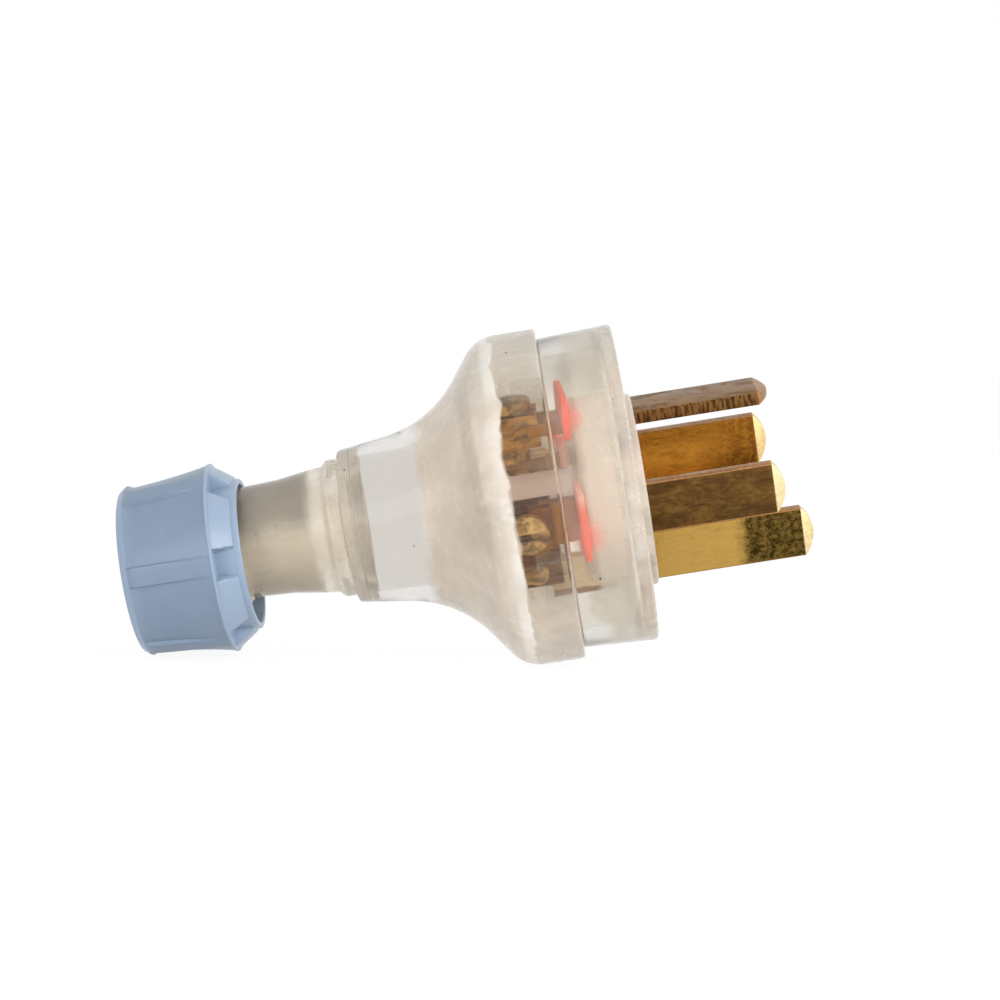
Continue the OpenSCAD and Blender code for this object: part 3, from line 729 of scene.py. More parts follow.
def brass(name, clean, stain, place=None, tarnish=0.5, tip=None, edge=None, cap=None, fine=0.35, root=None):
    """Drawn brass with brown tarnish in patches and fine scratches along it.

    fine is the strength of the fine mottling. tip is the (start, end, colour, cover) of a darker end. edge is
    the (half width, colour, shear marks) of the narrow sides. cap is the (station, colour) of the bare end.
    root is the colour behind the base's front wall.
    """
    f = Finish(name, place)
    patches = f.noise(0.55, 7, 0.68, stretch=(1.0, 1.0, 0.6), warp=0.5)
    patch = f.ramp(patches, 0.62 - tarnish * 0.4, 0.82 - tarnish * 0.35)
    grain = f.noise(6.0, 5, 0.7, stretch=(1.0, 1.0, 0.06))
    mottle = f.ramp(f.noise(2.1, 9, 0.80, stretch=(1.0, 1.0, 0.45)), 0.40, 0.64)
    speck = f.ramp(f.noise(3.2, 8, 0.8), 0.56, 0.68)
    colour = f.mix(patch, clean, stain)
    colour = f.mix(f.times(mottle, fine), colour, tone(stain, 0.6))
    colour = f.mix(f.times(speck, 0.40), colour, tone(stain, 0.45))
    colour = f.mix(f.ramp(grain, 0.35, 0.65, 0.0, 0.20), colour, tone(clean, 1.35))
    if tip:
        start, end, shade, cover = tip
        last = f.ramp(f.plus(f.axis("Z"), f.wander(0.5, 5, 0.7, 0.0, 4.0)), start, end)
        spots = f.ramp(f.noise(1.5, 8, 0.75, warp=0.5), 0.38, 0.60, cover, 1.0)
        colour = f.mix(f.times(last, spots), colour, shade)
    if root:
        colour = f.mix(f.ramp(f.axis("Z"), -3.0, -1.0, 0.85, 0.0), colour, root)
    rough = f.plus(f.ramp(patch, 0, 1, 0.24, 0.44), f.ramp(grain, 0.3, 0.7, 0.0, 0.14))
    height = grain
    if edge:
        half, shade, shear = edge
        side = f.ramp(f.math("ABSOLUTE", f.axis("Y")), half - 0.14, half - 0.05)
        marks = f.ramp(f.noise(2.6, 5, 0.7, stretch=(0.22, 1.0, 1.0)), 0.44, 0.56)
        colour = f.mix(side, colour, f.mix(f.times(marks, shear), shade, tone(shade, 0.22)))
        height = f.mix(f.times(side, shear), grain, marks)
    if cap:
        start, polished = cap
        worn = f.ramp(f.noise(1.8, 6, 0.7), 0.45, 0.75)
        bare = f.mix(worn, polished, tone(polished, 0.72))
        colour = f.mix(f.ramp(f.axis("Z"), start - 0.10, start + 0.08), colour, bare)
    f.set(
        Base_Color=colour, Metallic=f.ramp(f.most(patch, speck), 0, 1, 1.0, 0.90),
        Roughness=rough, Normal=f.bump(height, 0.00004, 0.6, normal=f.bump(speck, 0.00004, 0.4)),
    )
    return f.material


def rubber(tint):
    """Soft matt beige with streaks and dark specks, darker towards its upper side."""
    f = Finish("beige_rubber")
    cloud = f.ramp(f.noise(0.35, 5, 0.6), 0.35, 0.7)
    streak = f.noise(1.2, 4, 0.6, stretch=(1, 1, 0.15))
    colour = f.mix(cloud, tint, tone(tint, 0.84))
    colour = f.mix(f.ramp(streak, 0.45, 0.7, 0, 0.25), colour, tone(tint, 1.2))
    uneven = f.times(f.noise(0.5, 5, 0.7, warp=0.5), 3.0)
    # darker towards the upper side
    upper_darkening = f.ramp(f.plus(f.axis("X"), uneven), 1.0, 4.6, 0.0, 0.95)
    colour = f.mix(upper_darkening, colour, tone(tint, 0.40))
    colour = f.mix(f.dots(0.8, (0.05, 0.08), 0.5, (0.55, 0.6)), colour, (0.05, 0.04, 0.035))
    f.set(Base_Color=colour, Roughness=f.ramp(cloud, 0, 1, 0.50, 0.66),
          Normal=f.bump(f.noise(1.5, 3, 0.5), 0.00005, 0.10))
    return f.material


def nut_plastic(tint, sag):
    """Satin pale blue moulding with paler edges, partly worn and partly painted highlight, small nicks and
    grey scuffs.
    """
    f = Finish("satin_blue", plug_frame(sag))
    z, along = stations(), f.axis("Z")
    cloud = f.ramp(f.noise(0.16, 4, 0.5), 0.35, 0.7)
    scuff = f.ramp(f.noise(1.1, 8, 0.78, stretch=(1, 1, 0.5), warp=0.6), 0.58, 0.72)
    nick = f.dots(0.9, (0.03, 0.07), 0.4, (0.55, 0.62), offset=(7, 3, 1))
    colour = f.mix(cloud, tint, tuple(c * k for c, k in zip(tint, (1.10, 1.06, 1.02))))
    colour = f.mix(f.times(scuff, 0.12), colour, (0.55, 0.60, 0.66))
    # paler lugs, lip rim and rear edge: partly worn, partly painted highlight
    rubbed_and_highlight = tuple(min(1, c * 1.35 + 0.05) for c in tint)
    ends = f.most(f.ramp(along, z.lug - 0.1, z.lug + 0.1),
                  f.falls(along, z.nut_rear + 0.85, z.nut_rear + 0.95))
    rim = f.band(along, z.grip - 0.1, z.grip, z.lug, z.lug + 0.1)
    colour = f.mix(f.most(f.times(ends, 0.75), f.times(rim, 0.8)), colour, rubbed_and_highlight)
    colour = f.mix(nick, colour, (0.09, 0.11, 0.14))
    f.set(
        Base_Color=colour, Roughness=f.ramp(f.plus(scuff, f.times(cloud, 0.5)), 0, 1.5, 0.30, 0.52), IOR=1.49,
        Normal=f.bump(f.noise(3.0, 6, 0.6), 0.00003, 0.5, normal=f.bump(nick, 0.00005, 0.6)),
    )
    return f.material


def dress(node, material):
    """Gives a packed node a material and eased edges."""
    packed = frame["nodes"][node]
    for slot in packed.material_slots:
        slot.material = material
    packed.modifiers.new("weld", "WELD").merge_threshold = 1e-6
    ease(packed, 0.12 * MM, 2, 40)


def finished(piece, material, body, slot, *nodes, pressed=None, where=None):
    """Puts the material on and rides the piece on its body. pressed goes on faces where(radius, station)."""
    piece.data.materials.clear()
    piece.data.materials.append(material)
    if pressed:
        piece.data.materials.append(pressed)
        for face in piece.data.polygons:
            face.material_index = int(where(math.hypot(face.center.x, face.center.y), face.center.z))
    piece.data.transform(piece.matrix_world)
    piece.matrix_world = Matrix.Identity(4)
    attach(piece, body)
    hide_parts(*nodes)


# ---- pieces --------------------------------------------------------------------------------------

def spigot_radius(base):
    """The spigot's radius, which the cover's seat fits."""
    return base.front_r - base.draft - SPIGOT_IN


class PLUG_OT_base(bpy.types.Operator):
    """Makes the milky base with its boss, blade slots, skirt and middle post"""
    bl_idname = "plug.base"
    bl_label = "Base"

    def execute(self, context):
        base, cover, blades = sizes("base", "cover", "blades")
        z = stations()
        place = plug_frame()
        spigot_r = spigot_radius(base)
        skirt_r = spigot_r - base.wall
        shell = turned("base", soften([
            (SCREW_BORE_R, 0, 0), (base.front_r, 0, 0.55), (base.front_r - base.draft, z.lip + GAP, 0.25),
            (spigot_r, z.lip + GAP, 0), (spigot_r, z.spigot, 0),
            (skirt_r, z.spigot, 0), (skirt_r, -base.front_wall, 1.4),
            (base.block_r, -base.front_wall, 0.9), (base.block_r, -base.block_depth, 0.5),
            (base.post_r, -base.block_depth, 0.8), (base.post_r, z.post, 0.3), (SCREW_BORE_R, z.post, 0.2),
        ]), place)
        rolled = place @ Matrix.Rotation(base.roll, 4, "Z") @ Matrix.Translation((-base.boss_shift, 0, 0))
        boss = turned("boss", soften([
            (0, -BOSS_SINK, 0), (base.boss_r, -BOSS_SINK, 0), (base.boss_r, base.boss_h, 0.35),
            (0, base.boss_h, 0),
        ]), rolled, steps=160)
        work(shell, [boss], "UNION")
        tools = [rod("counterbore", COUNTERBORE_R, -COUNTERBORE_D, 3, place),
                 rod("screw_hole", SCREW_BORE_R, z.post - 1, -3, place)]
        tools += self.blade_slots(base, blades)
        for key in key_frames(cover):
            low = (spigot_r - KEY_W + CONTACT, -KEY_W + CONTACT, z.spigot - 1)
            high = (spigot_r + 1, KEY_W - CONTACT, z.lip - KEY_END - CONTACT)
            tools.append(block("notch", low, high, key))
        work(shell, tools)
        finish = context.scene.plug_finish
        core = (base.block_r + 0.1, -base.block_depth - 0.1, tuple(finish.milky), 0.45)
        skin, pressed = clear_pair(
            "clear_base", tuple(finish.base), BASE_HAZE, tuple(finish.frost), (0.05, 0.34), block=core,
            far=(-9.0, -14.0, 0.45), lip=(-9.2, -15.0, LIP_TINT),
        )
        finished(shell, skin, "plug_body", "clear_base", "pin_base", pressed=pressed,
                 where=lambda r, s: s < z.lip - 0.1 and r > skirt_r + 0.2)
        return {"FINISHED"}

    def blade_slots(self, base, blades):
        """The tools that cut the blades' slots and the narrower ones of their tails."""
        tools = []
        x, y = blades.thickness / 2 + GAP, blades.width / 2 + GAP
        tail_y = blades.terminal_w / 2 + GAP
        rear = -base.block_depth
        pitches = per_blade(blades.phase_pitch, blades.earth_pitch)
        tails = per_blade(blades.phase_pitch, blades.earth_terminal)
        for i, (pitch, tail) in enumerate(zip(pitches, tails)):
            place, shift = blade_frame(i, pitch), tail - pitch
            tools.append(block("slot", (-x, -y, rear + BLADE_END - GAP), (x, y, 3), place))
            tools.append(block("tail", (-x, shift - tail_y, rear - 1),
                               (x, shift + tail_y, -base.front_wall), place))
        return tools


def bell(cover, base, z, inset):
    """The bell's side, set in from its outer surface: shoulder, then the hollow throat."""
    outer = base.front_r - base.draft + cover.step
    a, b = cover.slope, cover.taper
    shoulder_r, throat_r = cover.shoulder_r, cover.throat_r
    drop = shoulder_r * (1 - math.cos(a)) + throat_r * (math.cos(b) - math.cos(a))
    straight = z.shoulder - z.cover_end - shoulder_r * math.sin(a) - throat_r * (math.sin(a) - math.sin(b))
    slope_l = ((outer - drop - cover.end_r - straight * math.tan(b))
               / (math.sin(a) - math.tan(b) * math.cos(a)))
    start = Vector((outer - shoulder_r * (1 - math.cos(a)), z.shoulder - shoulder_r * math.sin(a)))
    end = start - slope_l * Vector((math.sin(a), math.cos(a)))
    centre = end + throat_r * Vector((math.cos(a), -math.sin(a)))
    side = arc(outer - shoulder_r, z.shoulder, shoulder_r - inset, 0, -a, 14)
    side += arc(centre.x, centre.y, throat_r + inset, math.pi - a, math.pi - b, 18)
    return outer, start, side


class PLUG_OT_cover(bpy.types.Operator):
    """Makes the clear bell-shaped cover with its inside keys, bridge, hub and rear hole"""
    bl_idname = "plug.cover"
    bl_label = "Cover"

    def execute(self, context):
        base, cover, neck = sizes("base", "cover", "neck")
        z = stations()
        place = plug_frame()
        seat_r = spigot_radius(base) - CONTACT
        outer, start, side = bell(cover, base, z, 0)
        inner = bell(cover, base, z, cover.wall)[2]
        hole, throat = neck.front_r - CONTACT, neck.flange_r - CONTACT
        flush = seat_r + CONTACT - base.wall
        slope = [(r, s, 0) for r, s, _ in reversed(inner)
                 if throat + 0.05 < r < flush and s > z.rear_wall + 0.2]
        shell = turned("cover", soften([
            (seat_r, z.lip, 0.2), (outer, z.lip, 0.45), *side, (cover.end_r, z.cover_end, 0.35),
            (hole, z.cover_end, 0.15), (hole, z.rear_wall, 0.15), (throat, z.rear_wall, 0), *slope,
            (flush, slope[-1][1] + 0.9, 0.6), (flush, z.spigot + CONTACT, 0), (seat_r, z.spigot + CONTACT, 0),
        ]), place, steps=216)
        x = outer - cover.wall - 0.5
        inside = [bevel(block("key", (x, -KEY_W, z.seat - 2.0), (x + 1.2, KEY_W, z.lip - KEY_END), key), 0.12)
                  for key in key_frames(cover)]
        inside.append(self.bridge(base, cover, z, start, place))
        work(shell, inside, "UNION")
        work(shell, [
            rod("insert_hole", INSERT_R, z.bridge - INSERT_L, z.bridge + 1, place),
            rod("screw_hole", SCREW_BORE_R, z.bridge - INSERT_L - 2, z.bridge, place),
        ])
        finish = context.scene.plug_finish
        skin, pressed = clear_pair(
            "clear_cover", tuple(finish.clear), COVER_HAZE, tuple(finish.fog), inside=(12.3, -19.1, 0.85),
            far=(-9.0, -17.0, 0.45), lip=(-8.0, -18.0, LIP_TINT),
        )
        finished(shell, skin, "plug_body", "clear_cover", "rear_cover", pressed=pressed,
                 where=lambda r, s: z.spigot - 0.05 < s < z.lip - 0.1 and flush + 0.1 < r < seat_r + 0.5)
        return {"FINISHED"}

    def bridge(self, base, cover, z, start, place):
        """The bar across the cover, which ends in its sloping wall, with the hub of the cover screw."""
        low, high = z.bridge - cover.bridge_t, z.bridge
        slope_r = start.x + (low - start.y) * math.tan(cover.slope)
        reach, half = slope_r - 0.3 * cover.wall / math.cos(cover.slope), cover.bridge_w / 2
        across = place @ Matrix.Rotation(base.roll + math.radians(45), 4, "Z")
        beam = bevel(block("bridge", (-reach, -half, low), (reach, half, high), across), 0.3, 3)
        hub = turned("hub", soften([
            (0, high - HUB_L, 0), (HUB_R, high - HUB_L, 0.5), (HUB_R, high - 0.01, 0), (0, high - 0.01, 0),
        ]), place, steps=64)
        return work(beam, [hub], "UNION")


PALE_ROOT, DARK_ROOT = (0.85, 0.66, 0.40), (0.46, 0.18, 0.02)

# of the top, near, far and earth blade
BLADE_LOOKS = (
    dict(name="browned", colour="brown", stain=(0.13, 0.065, 0.022), tarnish=0.45, tip=None,
         side=((0.24, 0.115, 0.036), 0.9), fine=0.25, bare=(0.40, 0.22, 0.10), root=DARK_ROOT),
    dict(name="dark", colour="dark", stain=(0.075, 0.034, 0.008), tarnish=0.60, tip=None,
         side=((0.50, 0.25, 0.10), 0.25), fine=0.60, bare=(0.88, 0.66, 0.38), root=DARK_ROOT),
    dict(name="orange", colour="orange", stain=(0.32, 0.12, 0.012), tarnish=0.40,
         tip=(7.0, 16.0, (0.17, 0.062, 0.007), 0.45),
         side=((0.30, 0.13, 0.03), 0.3), fine=0.25, bare=(0.80, 0.56, 0.26), root=PALE_ROOT),
    dict(name="yellow", colour="yellow", stain=(0.40, 0.24, 0.055), tarnish=0.25,
         tip=(11.6, 13.6, (0.036, 0.023, 0.004), 0.66),
         side=((0.36, 0.17, 0.05), 0.3), fine=0.15, bare=(0.88, 0.68, 0.36), root=PALE_ROOT),
)


class PLUG_OT_blades(bpy.types.Operator):
    """Makes the four brass blades with rounded, bevelled ends and their tails"""
    bl_idname = "plug.blades"
    bl_label = "Blades"

    def execute(self, context):
        base, blades = sizes("base", "blades")
        low = -base.block_depth + BLADE_END
        lengths = per_blade(blades.phase_l, blades.earth_l)
        pitches = per_blade(blades.phase_pitch, blades.earth_pitch)
        tails = per_blade(blades.phase_pitch, blades.earth_terminal)
        for i, look in enumerate(BLADE_LOOKS):
            clean = tuple(getattr(context.scene.plug_finish, look["colour"]))
            place = blade_frame(i, pitches[i])
            high = base.boss_h + lengths[i]
            piece = self.blade(blades, "blade_" + PLACES[i] + "_brass", low, high, place)
            x, y, shift = blades.thickness / 2 - 0.01, blades.terminal_w / 2, tails[i] - pitches[i]
            tail_z = -blades.terminal_z + blades.terminal_l / 2 - TAIL_SEAT
            tail = block("tail", (-x, shift - y, tail_z), (x, shift + y, low + 3), place)
            work(piece, [tail], "UNION")
            metal = brass(
                look["name"] + "_brass", clean, look["stain"], place, look["tarnish"], look["tip"],
                (blades.width / 2, *look["side"]),
                (high - blades.bevel_l, look["bare"]), look["fine"], look["root"],
            )
            finished(piece, metal, "plug_body", look["colour"] + "_brass", "blade_" + PLACES[i])
        return {"FINISHED"}

    def blade(self, blades, name, low, high, place):
        """A flat blade with a rounded outline and a bevel on both faces of its end."""
        half_w, half_t, r = blades.width / 2, blades.thickness / 2, blades.tip_r
        half = math.asin(half_w / r)
        turns = [half * (1 - k / 12) for k in range(25)]
        plan = [(-half_w, low), (half_w, low)]
        plan += [(r * math.sin(t), high - r + r * math.cos(t)) for t in turns]
        piece = prism(name, plan, half_t, place)
        wide, flat = half_t + 0.2, half_t - blades.bevel_d
        corner = high - blades.bevel_l - 0.2 * blades.bevel_l / blades.bevel_d
        side = [(wide, low - 1), (wide, corner), (flat, high), (flat, high + 1)]
        wedge = prism("wedge", [(-y, z) for y, z in side[:1]] + side + [(-y, z) for y, z in side[:0:-1]],
                      blades.width, place @ Matrix.Rotation(math.radians(90), 4, "Z"))
        work(piece, [wedge], "INTERSECT")
        return bevel(piece, blades.edge, 3, 22)


TERMINAL_LOOKS = {
    "terminal_brass_worn": dict(
        clean=(0.31, 0.12, 0.015), stain=(0.05, 0.017, 0.002), tarnish=0.6, fine=0.45),
    # painted light: a lighter copy of the terminal brass for the top terminal, standing in for how it is lit
    "terminal_brass_light": dict(
        clean=(0.66, 0.33, 0.075), stain=(0.12, 0.05, 0.010), tarnish=0.5, fine=0.45),
    "terminal_brass_pale": dict(
        clean=(0.70, 0.50, 0.28), stain=(0.45, 0.28, 0.13), tarnish=0.4, fine=0.25),
    "screw_brass_worn": dict(
        clean=(0.88, 0.56, 0.21), stain=(0.12, 0.050, 0.014), tarnish=0.55, fine=0.5),
    "insert_brass_worn": dict(clean=(0.55, 0.38, 0.15), stain=(0.25, 0.15, 0.06), tarnish=0.4),
    "plated_steel_worn": dict(clean=(0.62, 0.62, 0.60), stain=(0.35, 0.33, 0.30), tarnish=0.3),
}


class PLUG_OT_terminals(bpy.types.Operator):
    """Finishes the terminal blocks, their screws, the cover screw and its insert"""
    bl_idname = "plug.terminals"
    bl_label = "Terminals"

    def execute(self, context):
        (blades,) = sizes("blades")
        metals = [brass(name, **look) for name, look in TERMINAL_LOOKS.items()]
        dull, light, pale, bright, insert, steel = metals
        pitches = per_blade(blades.phase_pitch, blades.earth_terminal)
        top, back = blades.terminal_h / 2 + GAP, -blades.terminal_z - TERMINAL_SCREW_BACK
        # the top terminal takes the painted-lit copy of the terminal brass
        for i, metal in enumerate((light, dull, pale, dull)):
            dress("terminal_" + PLACES[i], metal)
            place = (blade_frame(i, pitches[i]) @ Matrix.Translation((top, 0, back))
                     @ Matrix.Rotation(math.radians(90), 4, "Y"))
            screw = self.screw(blades, "screw_" + PLACES[i] + "_brass", place)
            finished(screw, bright, "plug_body", "screw_brass", "screw_" + PLACES[i])
        dress("cover_insert", insert)
        dress("cover_screw", steel)
        return {"FINISHED"}

    def screw(self, blades, name, place):
        """A terminal screw with a domed, slotted head that sits on its block at 0."""
        h, r = blades.head_h, blades.head_r
        end = -blades.terminal_h - blades.screw_past
        turns = [math.pi / 2 * k / 8 for k in range(8)]
        dome = [(r * math.cos(t), h - HEAD_DOME + HEAD_DOME * math.sin(t), 0) for t in turns]
        screw = turned(name, soften([
            (0, end, 0), (blades.screw_r, end, 0.25), (blades.screw_r, 0, 0), (r, 0, 0.15), *dome, (0, h, 0),
        ]), place, steps=72)
        slot = block("slot", (-r - 1, -SCREW_SLOT_W, h - SCREW_SLOT_D), (r + 1, SCREW_SLOT_W, h + 1), place)
        return work(screw, [slot])


class PLUG_OT_washers(bpy.types.Operator):
    """Makes the red insulating plates behind the block"""
    bl_idname = "plug.washers"
    bl_label = "Red plates"

    def execute(self, context):
        base, blades = sizes("base", "blades")
        f = Finish("red_fibre")
        fleck = f.ramp(f.noise(4.0, 6, 0.7), 0.4, 0.66)
        faded = f.times(f.ramp(f.axis("X"), -2.5, 0.5, 0.0, 0.75), f.falls(f.axis("X"), 5.0, 7.0))
        red = f.mix(fleck, tuple(context.scene.plug_finish.red), (1.0, 0.20, 0.09))
        f.set(Base_Color=f.mix(faded, red, (0.95, 0.62, 0.52)), Roughness=f.ramp(fleck, 0, 1, 0.42, 0.62),
              Normal=f.bump(f.noise(5.0, 5, 0.6), 0.00004, 0.5))
        high = -base.block_depth - GAP
        x, y = blades.thickness / 2 + GAP, blades.terminal_w / 2 + GAP
        for i in (TOP, NEAR, FAR):
            place = blade_frame(i, blades.phase_pitch)
            plate = block("washer_" + PLACES[i] + "_plate", (-PLATE_IN, -PLATE_W, high - PLATE_T),
                          (PLATE_OUT, PLATE_W, high), place)
            bevel(plate, 0.22, 3)
            work(plate, [block("slot", (-x, -y, high - 2), (x, y, high + 2), place)])
            finished(plate, f.material, "plug_body", "red_washer", "washer_" + PLACES[i])
        return {"FINISHED"}


def crest(s, a, pitch):
    """1 on a thread's crest and 0 in its root."""
    phase = (s / pitch - a / (2 * math.pi)) % 1.0
    return clamp(2.2 - abs(phase - 0.5) * 5.0)


def run_out(s, low, high):
    """Fades a thread out at both of its ends."""
    return clamp((s - low) / THREAD_RUN_OUT) * clamp((high - s) / THREAD_RUN_OUT)


class PLUG_OT_neck(bpy.types.Operator):
    """Makes the soft clear neck with its collar and thread, and the beige grip bush inside it"""
    bl_idname = "plug.neck"
    bl_label = "Neck and bush"

    def execute(self, context):
        (neck,) = sizes("neck")
        z = stations()
        bends = (z.mouth + 1.0, z.mouth - 0.3, z.mouth - 1.0, z.thread + 0.25)
        finish = context.scene.plug_finish
        sleeve = self.sleeve(neck, z, bends)
        finished(sleeve, clear_plastic("clear_neck", (0.90, 0.88, 0.82), NECK_HAZE, (0.86, 0.80, 0.70)),
                 "plug_body", "clear_neck", "neck_sleeve")
        front = z.bush_front - GAP
        bush = turned("grip_bush_rubber", soften([
            (neck.cord_r, front, 0.3), (neck.bush_r, front, 0.4), *[(neck.bush_r, s, 0) for s in bends],
            (neck.bush_r, z.bush_head, 0.1), (neck.head_r, z.bush_head, 0.25), (neck.head_r, z.bush_end, 0.3),
            (neck.cord_r, z.bush_end, 0.3), *[(neck.cord_r, s, 0) for s in bends[::-1]],
        ]), plug_frame(), steps=96, shape=lambda r, a, s: (r, s, self.drop(neck, z, s)), sharp=40)
        finished(bush, rubber(tuple(finish.bush)), "plug_body", "beige_bush", "grip_bush")
        return {"FINISHED"}

    def drop(self, neck, z, s):
        """How far the soft neck has sunk: not at all outside the nut, by its full sag in the thread."""
        return -neck.sag * smooth((z.mouth - 0.1 - s) / (z.mouth - 0.3 - z.thread))

    def sleeve(self, neck, z, bends):
        """The soft neck from its flange in the cover to the end of its thread."""
        front = z.flange + neck.flange_t
        root = neck.thread_r - THREAD_DEPTH
        top, bottom = z.thread - 0.05, z.thread_end
        collar_end = z.collar - neck.collar_l
        seat, seat_z = neck.bush_r - CONTACT, z.bush_front - GAP - CONTACT
        outline = soften([
            (neck.cord_r + 2.1, front, 0.2), (neck.flange_r, front, 0.25), (neck.flange_r, z.flange, 0.1),
            (neck.front_r, z.flange, 0.1), (neck.front_r, z.collar, 0.05),
            (neck.collar_r, z.collar, 0.3), (neck.collar_r, collar_end, 0.5),
            (neck.front_r, collar_end - 0.7, 0.6),
            (neck.front_r - 0.2, z.collar - 4.2, 1.2), (neck.rear_r + 0.30, z.collar - 8.0, 2.0),
            (neck.rear_r + 0.12, z.mouth + 1.0, 0.5), (neck.rear_r + 0.1, z.mouth - 0.3, 0),
            (neck.rear_r + 0.05, z.mouth - 1.0, 0), (neck.rear_r, z.thread + 0.25, 0),
            *[(neck.thread_r, bottom + (top - bottom) * (1 - k / 48), 0) for k in range(49)],
            (seat, bottom, 0.1), *[(seat, s, 0) for s in bends[::-1]],
            (seat, seat_z, 0.2), (neck.cord_r, seat_z, 0.3), (neck.cord_r, front - 2.0, 0.4),
        ])

        def shape(r, a, s):
            if r > neck.rear_r + 0.8 and s < z.thread:
                r = root + (neck.thread_r - root) * crest(s, a, neck.thread_pitch) * run_out(s, bottom, top)
            return r, s, self.drop(neck, z, s)

        return turned("neck", outline, plug_frame(), steps=144, shape=shape, sharp=40)


class PLUG_OT_nut(bpy.types.Operator):
    """Makes the pale blue gland nut with its panels, ribs, lip, lugs and inside thread"""
    bl_idname = "plug.nut"
    bl_label = "Gland nut"

    def execute(self, context):
        neck, nut = sizes("neck", "nut")
        z = stations()
        rear, grip, lug = z.nut_rear, z.grip, z.lug
        start = rear + nut.rear_edge
        wall = z.ring_end - GAP
        step, bore = z.thread_end - NUT_THREAD_PAST, z.thread - NUT_THREAD_BACK
        front = z.nut_collar + 0.35
        flank_r = nut.collar_r + 0.4
        thread_r = neck.thread_r + THREAD_CLEAR
        grip_side = [(nut.rear_r + (nut.front_r - nut.rear_r) * t ** 1.5, start + (grip - start) * t, 0)
                     for t in [k / 16 for k in range(17)]]
        outline = soften([
            (nut.hole_r + 0.8, rear, 0.25), (nut.rear_r - 0.62, rear, 0.45),
            (nut.rear_r - 0.06, start - 0.12, 0.35), *grip_side,
            (nut.lip_r, grip + 0.04, 0.1), (nut.lip_r, lug - 0.04, 0.1),
            (nut.lug_r, lug, 0), (nut.lug_r - 0.03, lug + 0.05, 0),
            ((nut.lug_r + flank_r) / 2, (lug + front) / 2, 0),
            (flank_r, front - 0.08, 0.1), (nut.collar_r + 0.02, front, 0.05),
            (nut.collar_r, z.mouth, 0.25), (nut.mouth_r, z.mouth, 0.2), (nut.mouth_r, bore, 0),
            *[(thread_r, bore - (bore - step) * k / 40, 0) for k in range(41)],
            (RING_ROOM_R, step, 0.05), (RING_ROOM_R, wall, 0.15),
            (nut.hole_r, wall, 0.15), (nut.hole_r, rear + 0.8, 0.1),
        ])
        rib_turn = 2 * math.pi / nut.ribs

        def shape(r, a, s):
            if r < nut.mouth_r + 0.05:
                if step < s < bore and r > neck.thread_r - 0.3:
                    groove = 1 - crest(s, a, neck.thread_pitch)
                    r = thread_r + NUT_THREAD_DEPTH * groove * run_out(s, step, bore)
                return r, s, 0.0
            panel = (a + rib_turn / 2) % rib_turn - rib_turn / 2
            across = (rib_turn / 2 - abs(panel)) * r
            if start - 0.02 < s <= grip and r < nut.front_r + 0.01:
                t = (s - start) / (grip - start)
                hollow = (1 - (2 * panel / rib_turn) ** 2) * (1 - t) ** 0.6
                sunk = nut.flat_depth * hollow * smooth((s - start) / 0.25)
                rib = smooth((nut.rib_w / 2 + 0.10 - across) / 0.20)
                top = (nut.rear_r + nut.rib_h * smooth((s - start + 0.05) / 0.5)
                       + (nut.lip_r - nut.rear_r - nut.rib_h) * t)
                r = (r - sunk) * (1 - rib) + max(r, top) * rib
            elif lug + 0.01 < s < front + 0.01 and r > nut.collar_r + 0.01:
                notch = smooth((nut.notch_w / 2 + 0.12 - across) / 0.24)
                r = r + (nut.collar_r + 0.01 - r) * notch
            return r, s, 0.0

        piece = turned("gland_nut_blue", outline, plug_frame(neck.sag), steps=420, shape=shape, sharp=30)
        skin = nut_plastic(tuple(context.scene.plug_finish.nut), neck.sag)
        finished(piece, skin, "nut_body", "pale_blue_nut", "gland_nut")
        return {"FINISHED"}


class PLUG_OT_ring(bpy.types.Operator):
    """Finishes the thrust ring inside the nut"""
    bl_idname = "plug.ring"
    bl_label = "Thrust ring"

    def execute(self, context):
        f = Finish("grey_ring")
        rub = f.ramp(f.noise(0.8, 6, 0.7), 0.45, 0.7)
        f.set(Base_Color=f.mix(rub, (0.09, 0.09, 0.095), (0.17, 0.17, 0.17)),
              Roughness=f.ramp(rub, 0, 1, 0.45, 0.65), Normal=f.bump(f.noise(3.0, 5, 0.6), 0.00004, 0.4))
        dress("thrust_ring", f.material)
        return {"FINISHED"}


# place and width in metres, and power in watts
LAMPS = {
    "key": ((0.46, -0.38, 0.22), 0.44, 2.9),
    "fill": ((-0.38, -0.44, 0.08), 0.40, 1.0),
    "low": ((-0.26, -0.34, 0.03), 0.10, 0.12),
    "over": ((0.00, 0.06, 0.60), 0.50, 0.25),
}
LAMPS_AIM = Vector((0, 0, 0.02))
FLOOR_HALF = 3
FLOOR_GLOW, FLOOR_GLOW_SHARE = 1.05, 0.88
SURROUND_LIGHT = 0.66  # of the white that the camera sees
SENSOR = 36


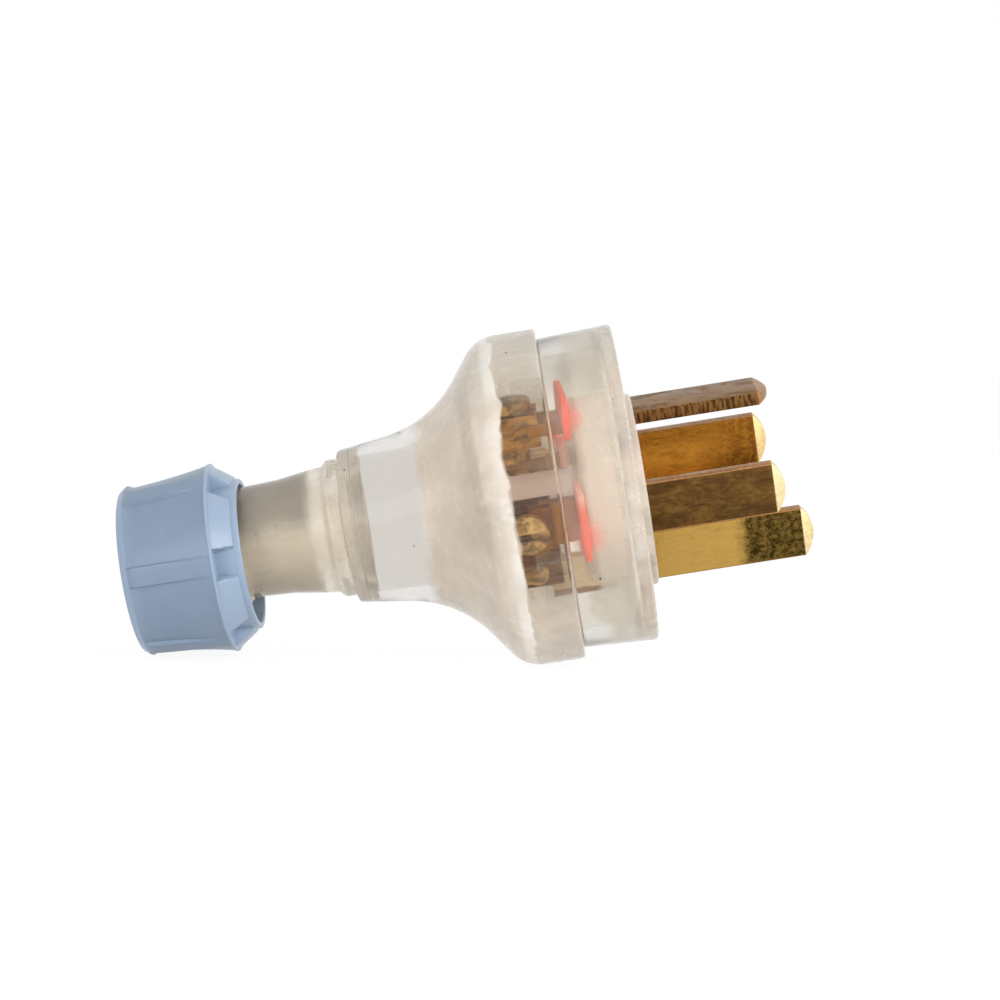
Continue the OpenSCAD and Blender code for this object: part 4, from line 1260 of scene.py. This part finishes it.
class PLUG_OT_stage(bpy.types.Operator):
    """Makes the pale floor, the soft lamps, the white surroundings and the camera"""
    bl_idname = "plug.stage"
    bl_label = "Stage"

    def execute(self, context):
        stage = context.scene.plug_stage
        self.floor(tuple(stage.floor))
        self.surroundings(context.scene)
        for name, look in LAMPS.items():
            self.lamp(name, *look)
        self.camera(context.scene, stage)
        return {"FINISHED"}

    def floor(self, tint):
        """A matt floor that looks nearly white itself but still takes the plug's shadow."""
        h = FLOOR_HALF
        mesh = to_mesh("floor", [(-h, -h, 0), (h, -h, 0), (h, h, 0), (-h, h, 0)], [(0, 1, 2, 3)])
        floor = new_piece("floor", mesh, Matrix.Identity(4))
        material = bpy.data.materials.new("pale_floor")
        f = Nodes(material, "OutputMaterial")
        seen = f.most(f.ray("Camera"), f.ray("Transmission"), f.ray("Glossy"))
        matt = f.node("BsdfDiffuse", Color=tint)
        glow = f.node("Emission", Strength=FLOOR_GLOW)
        f.end(f.blend(f.times(seen, FLOOR_GLOW_SHARE), matt, glow))
        floor.data.materials.append(material)

    def surroundings(self, scene):
        """White all round, and dimmer as a light on matt surfaces."""
        world = scene.world or bpy.data.worlds.new("studio")
        scene.world = world
        f = Nodes(world, "OutputWorld")
        light = f.ramp(f.ray("Diffuse"), 0, 1, 1.0, SURROUND_LIGHT)
        f.end(f.node("Background", Color=(1, 1, 1), Strength=light))

    def lamp(self, name, spot, width, power):
        data = bpy.data.lights.new(name, "AREA")
        data.size = width
        data.energy = power
        lamp = bpy.data.objects.new(name, data)
        bpy.context.scene.collection.objects.link(lamp)
        lamp.location = spot
        lamp.visible_transmission = False
        lamp.visible_glossy = name != "low"
        lamp.rotation_mode = "QUATERNION"
        lamp.rotation_quaternion = (LAMPS_AIM - Vector(spot)).to_track_quat("-Z", "Y")

    def camera(self, scene, stage):
        data = bpy.data.cameras.new("camera")
        data.lens = stage.lens
        data.sensor_width = SENSOR
        data.clip_start = 0.01
        data.clip_end = 20
        camera = bpy.data.objects.new("camera", data)
        scene.collection.objects.link(camera)
        az, el, roll = stage.azimuth, stage.elevation, stage.roll
        ahead = Vector((math.sin(az) * math.cos(el), math.cos(az) * math.cos(el), -math.sin(el)))
        target = Vector((stage.target_x, 0, stage.target_z))
        right = ahead.cross(Vector((0, 0, 1))).normalized()
        up = right.cross(ahead)
        rolled = right * math.cos(roll) + up * math.sin(roll)
        above = -right * math.sin(roll) + up * math.cos(roll)
        turn = Matrix((rolled, above, -ahead)).transposed().to_4x4()
        camera.matrix_world = Matrix.Translation(target - ahead * stage.distance) @ turn
        scene.camera = camera
        scene.view_settings.view_transform = "Standard"


class PLUG_PT_panel(bpy.types.Panel):
    """Lists the plug's pieces and their sizes"""
    bl_idname = "PLUG_PT_panel"
    bl_label = "Power plug"
    bl_space_type = "VIEW_3D"
    bl_region_type = "UI"
    bl_category = "Plug"

    def draw(self, context):
        for operator in OPERATORS:
            self.layout.operator(operator.bl_idname)
        for name in GROUPS:
            box = self.layout.box()
            box.label(text=GROUPS[name].__doc__)
            group = getattr(context.scene, name)
            for prop in group.bl_rna.properties:
                if prop.identifier not in {"rna_type", "name"}:
                    box.prop(group, prop.identifier)


GROUPS = {
    "plug_base": PlugBaseSizes, "plug_cover": PlugCoverSizes, "plug_blades": PlugBladeSizes,
    "plug_neck": PlugNeckSizes, "plug_nut": PlugNutSizes, "plug_finish": PlugFinish, "plug_stage": PlugStage,
}
OPERATORS = (
    PLUG_OT_base, PLUG_OT_cover, PLUG_OT_blades, PLUG_OT_terminals, PLUG_OT_washers,
    PLUG_OT_neck, PLUG_OT_nut, PLUG_OT_ring, PLUG_OT_stage,
)


def register():
    for cls in (*GROUPS.values(), *OPERATORS, PLUG_PT_panel):
        bpy.utils.register_class(cls)
    for name, cls in GROUPS.items():
        setattr(bpy.types.Scene, name, PointerProperty(type=cls))


def unregister():
    for name in GROUPS:
        delattr(bpy.types.Scene, name)
    for cls in reversed((*GROUPS.values(), *OPERATORS, PLUG_PT_panel)):
        bpy.utils.unregister_class(cls)


def main():
    register()
    for operator in OPERATORS:
        group, name = operator.bl_idname.split(".")
        getattr(getattr(bpy.ops, group), name)()


if __name__ == "__main__":
    main()
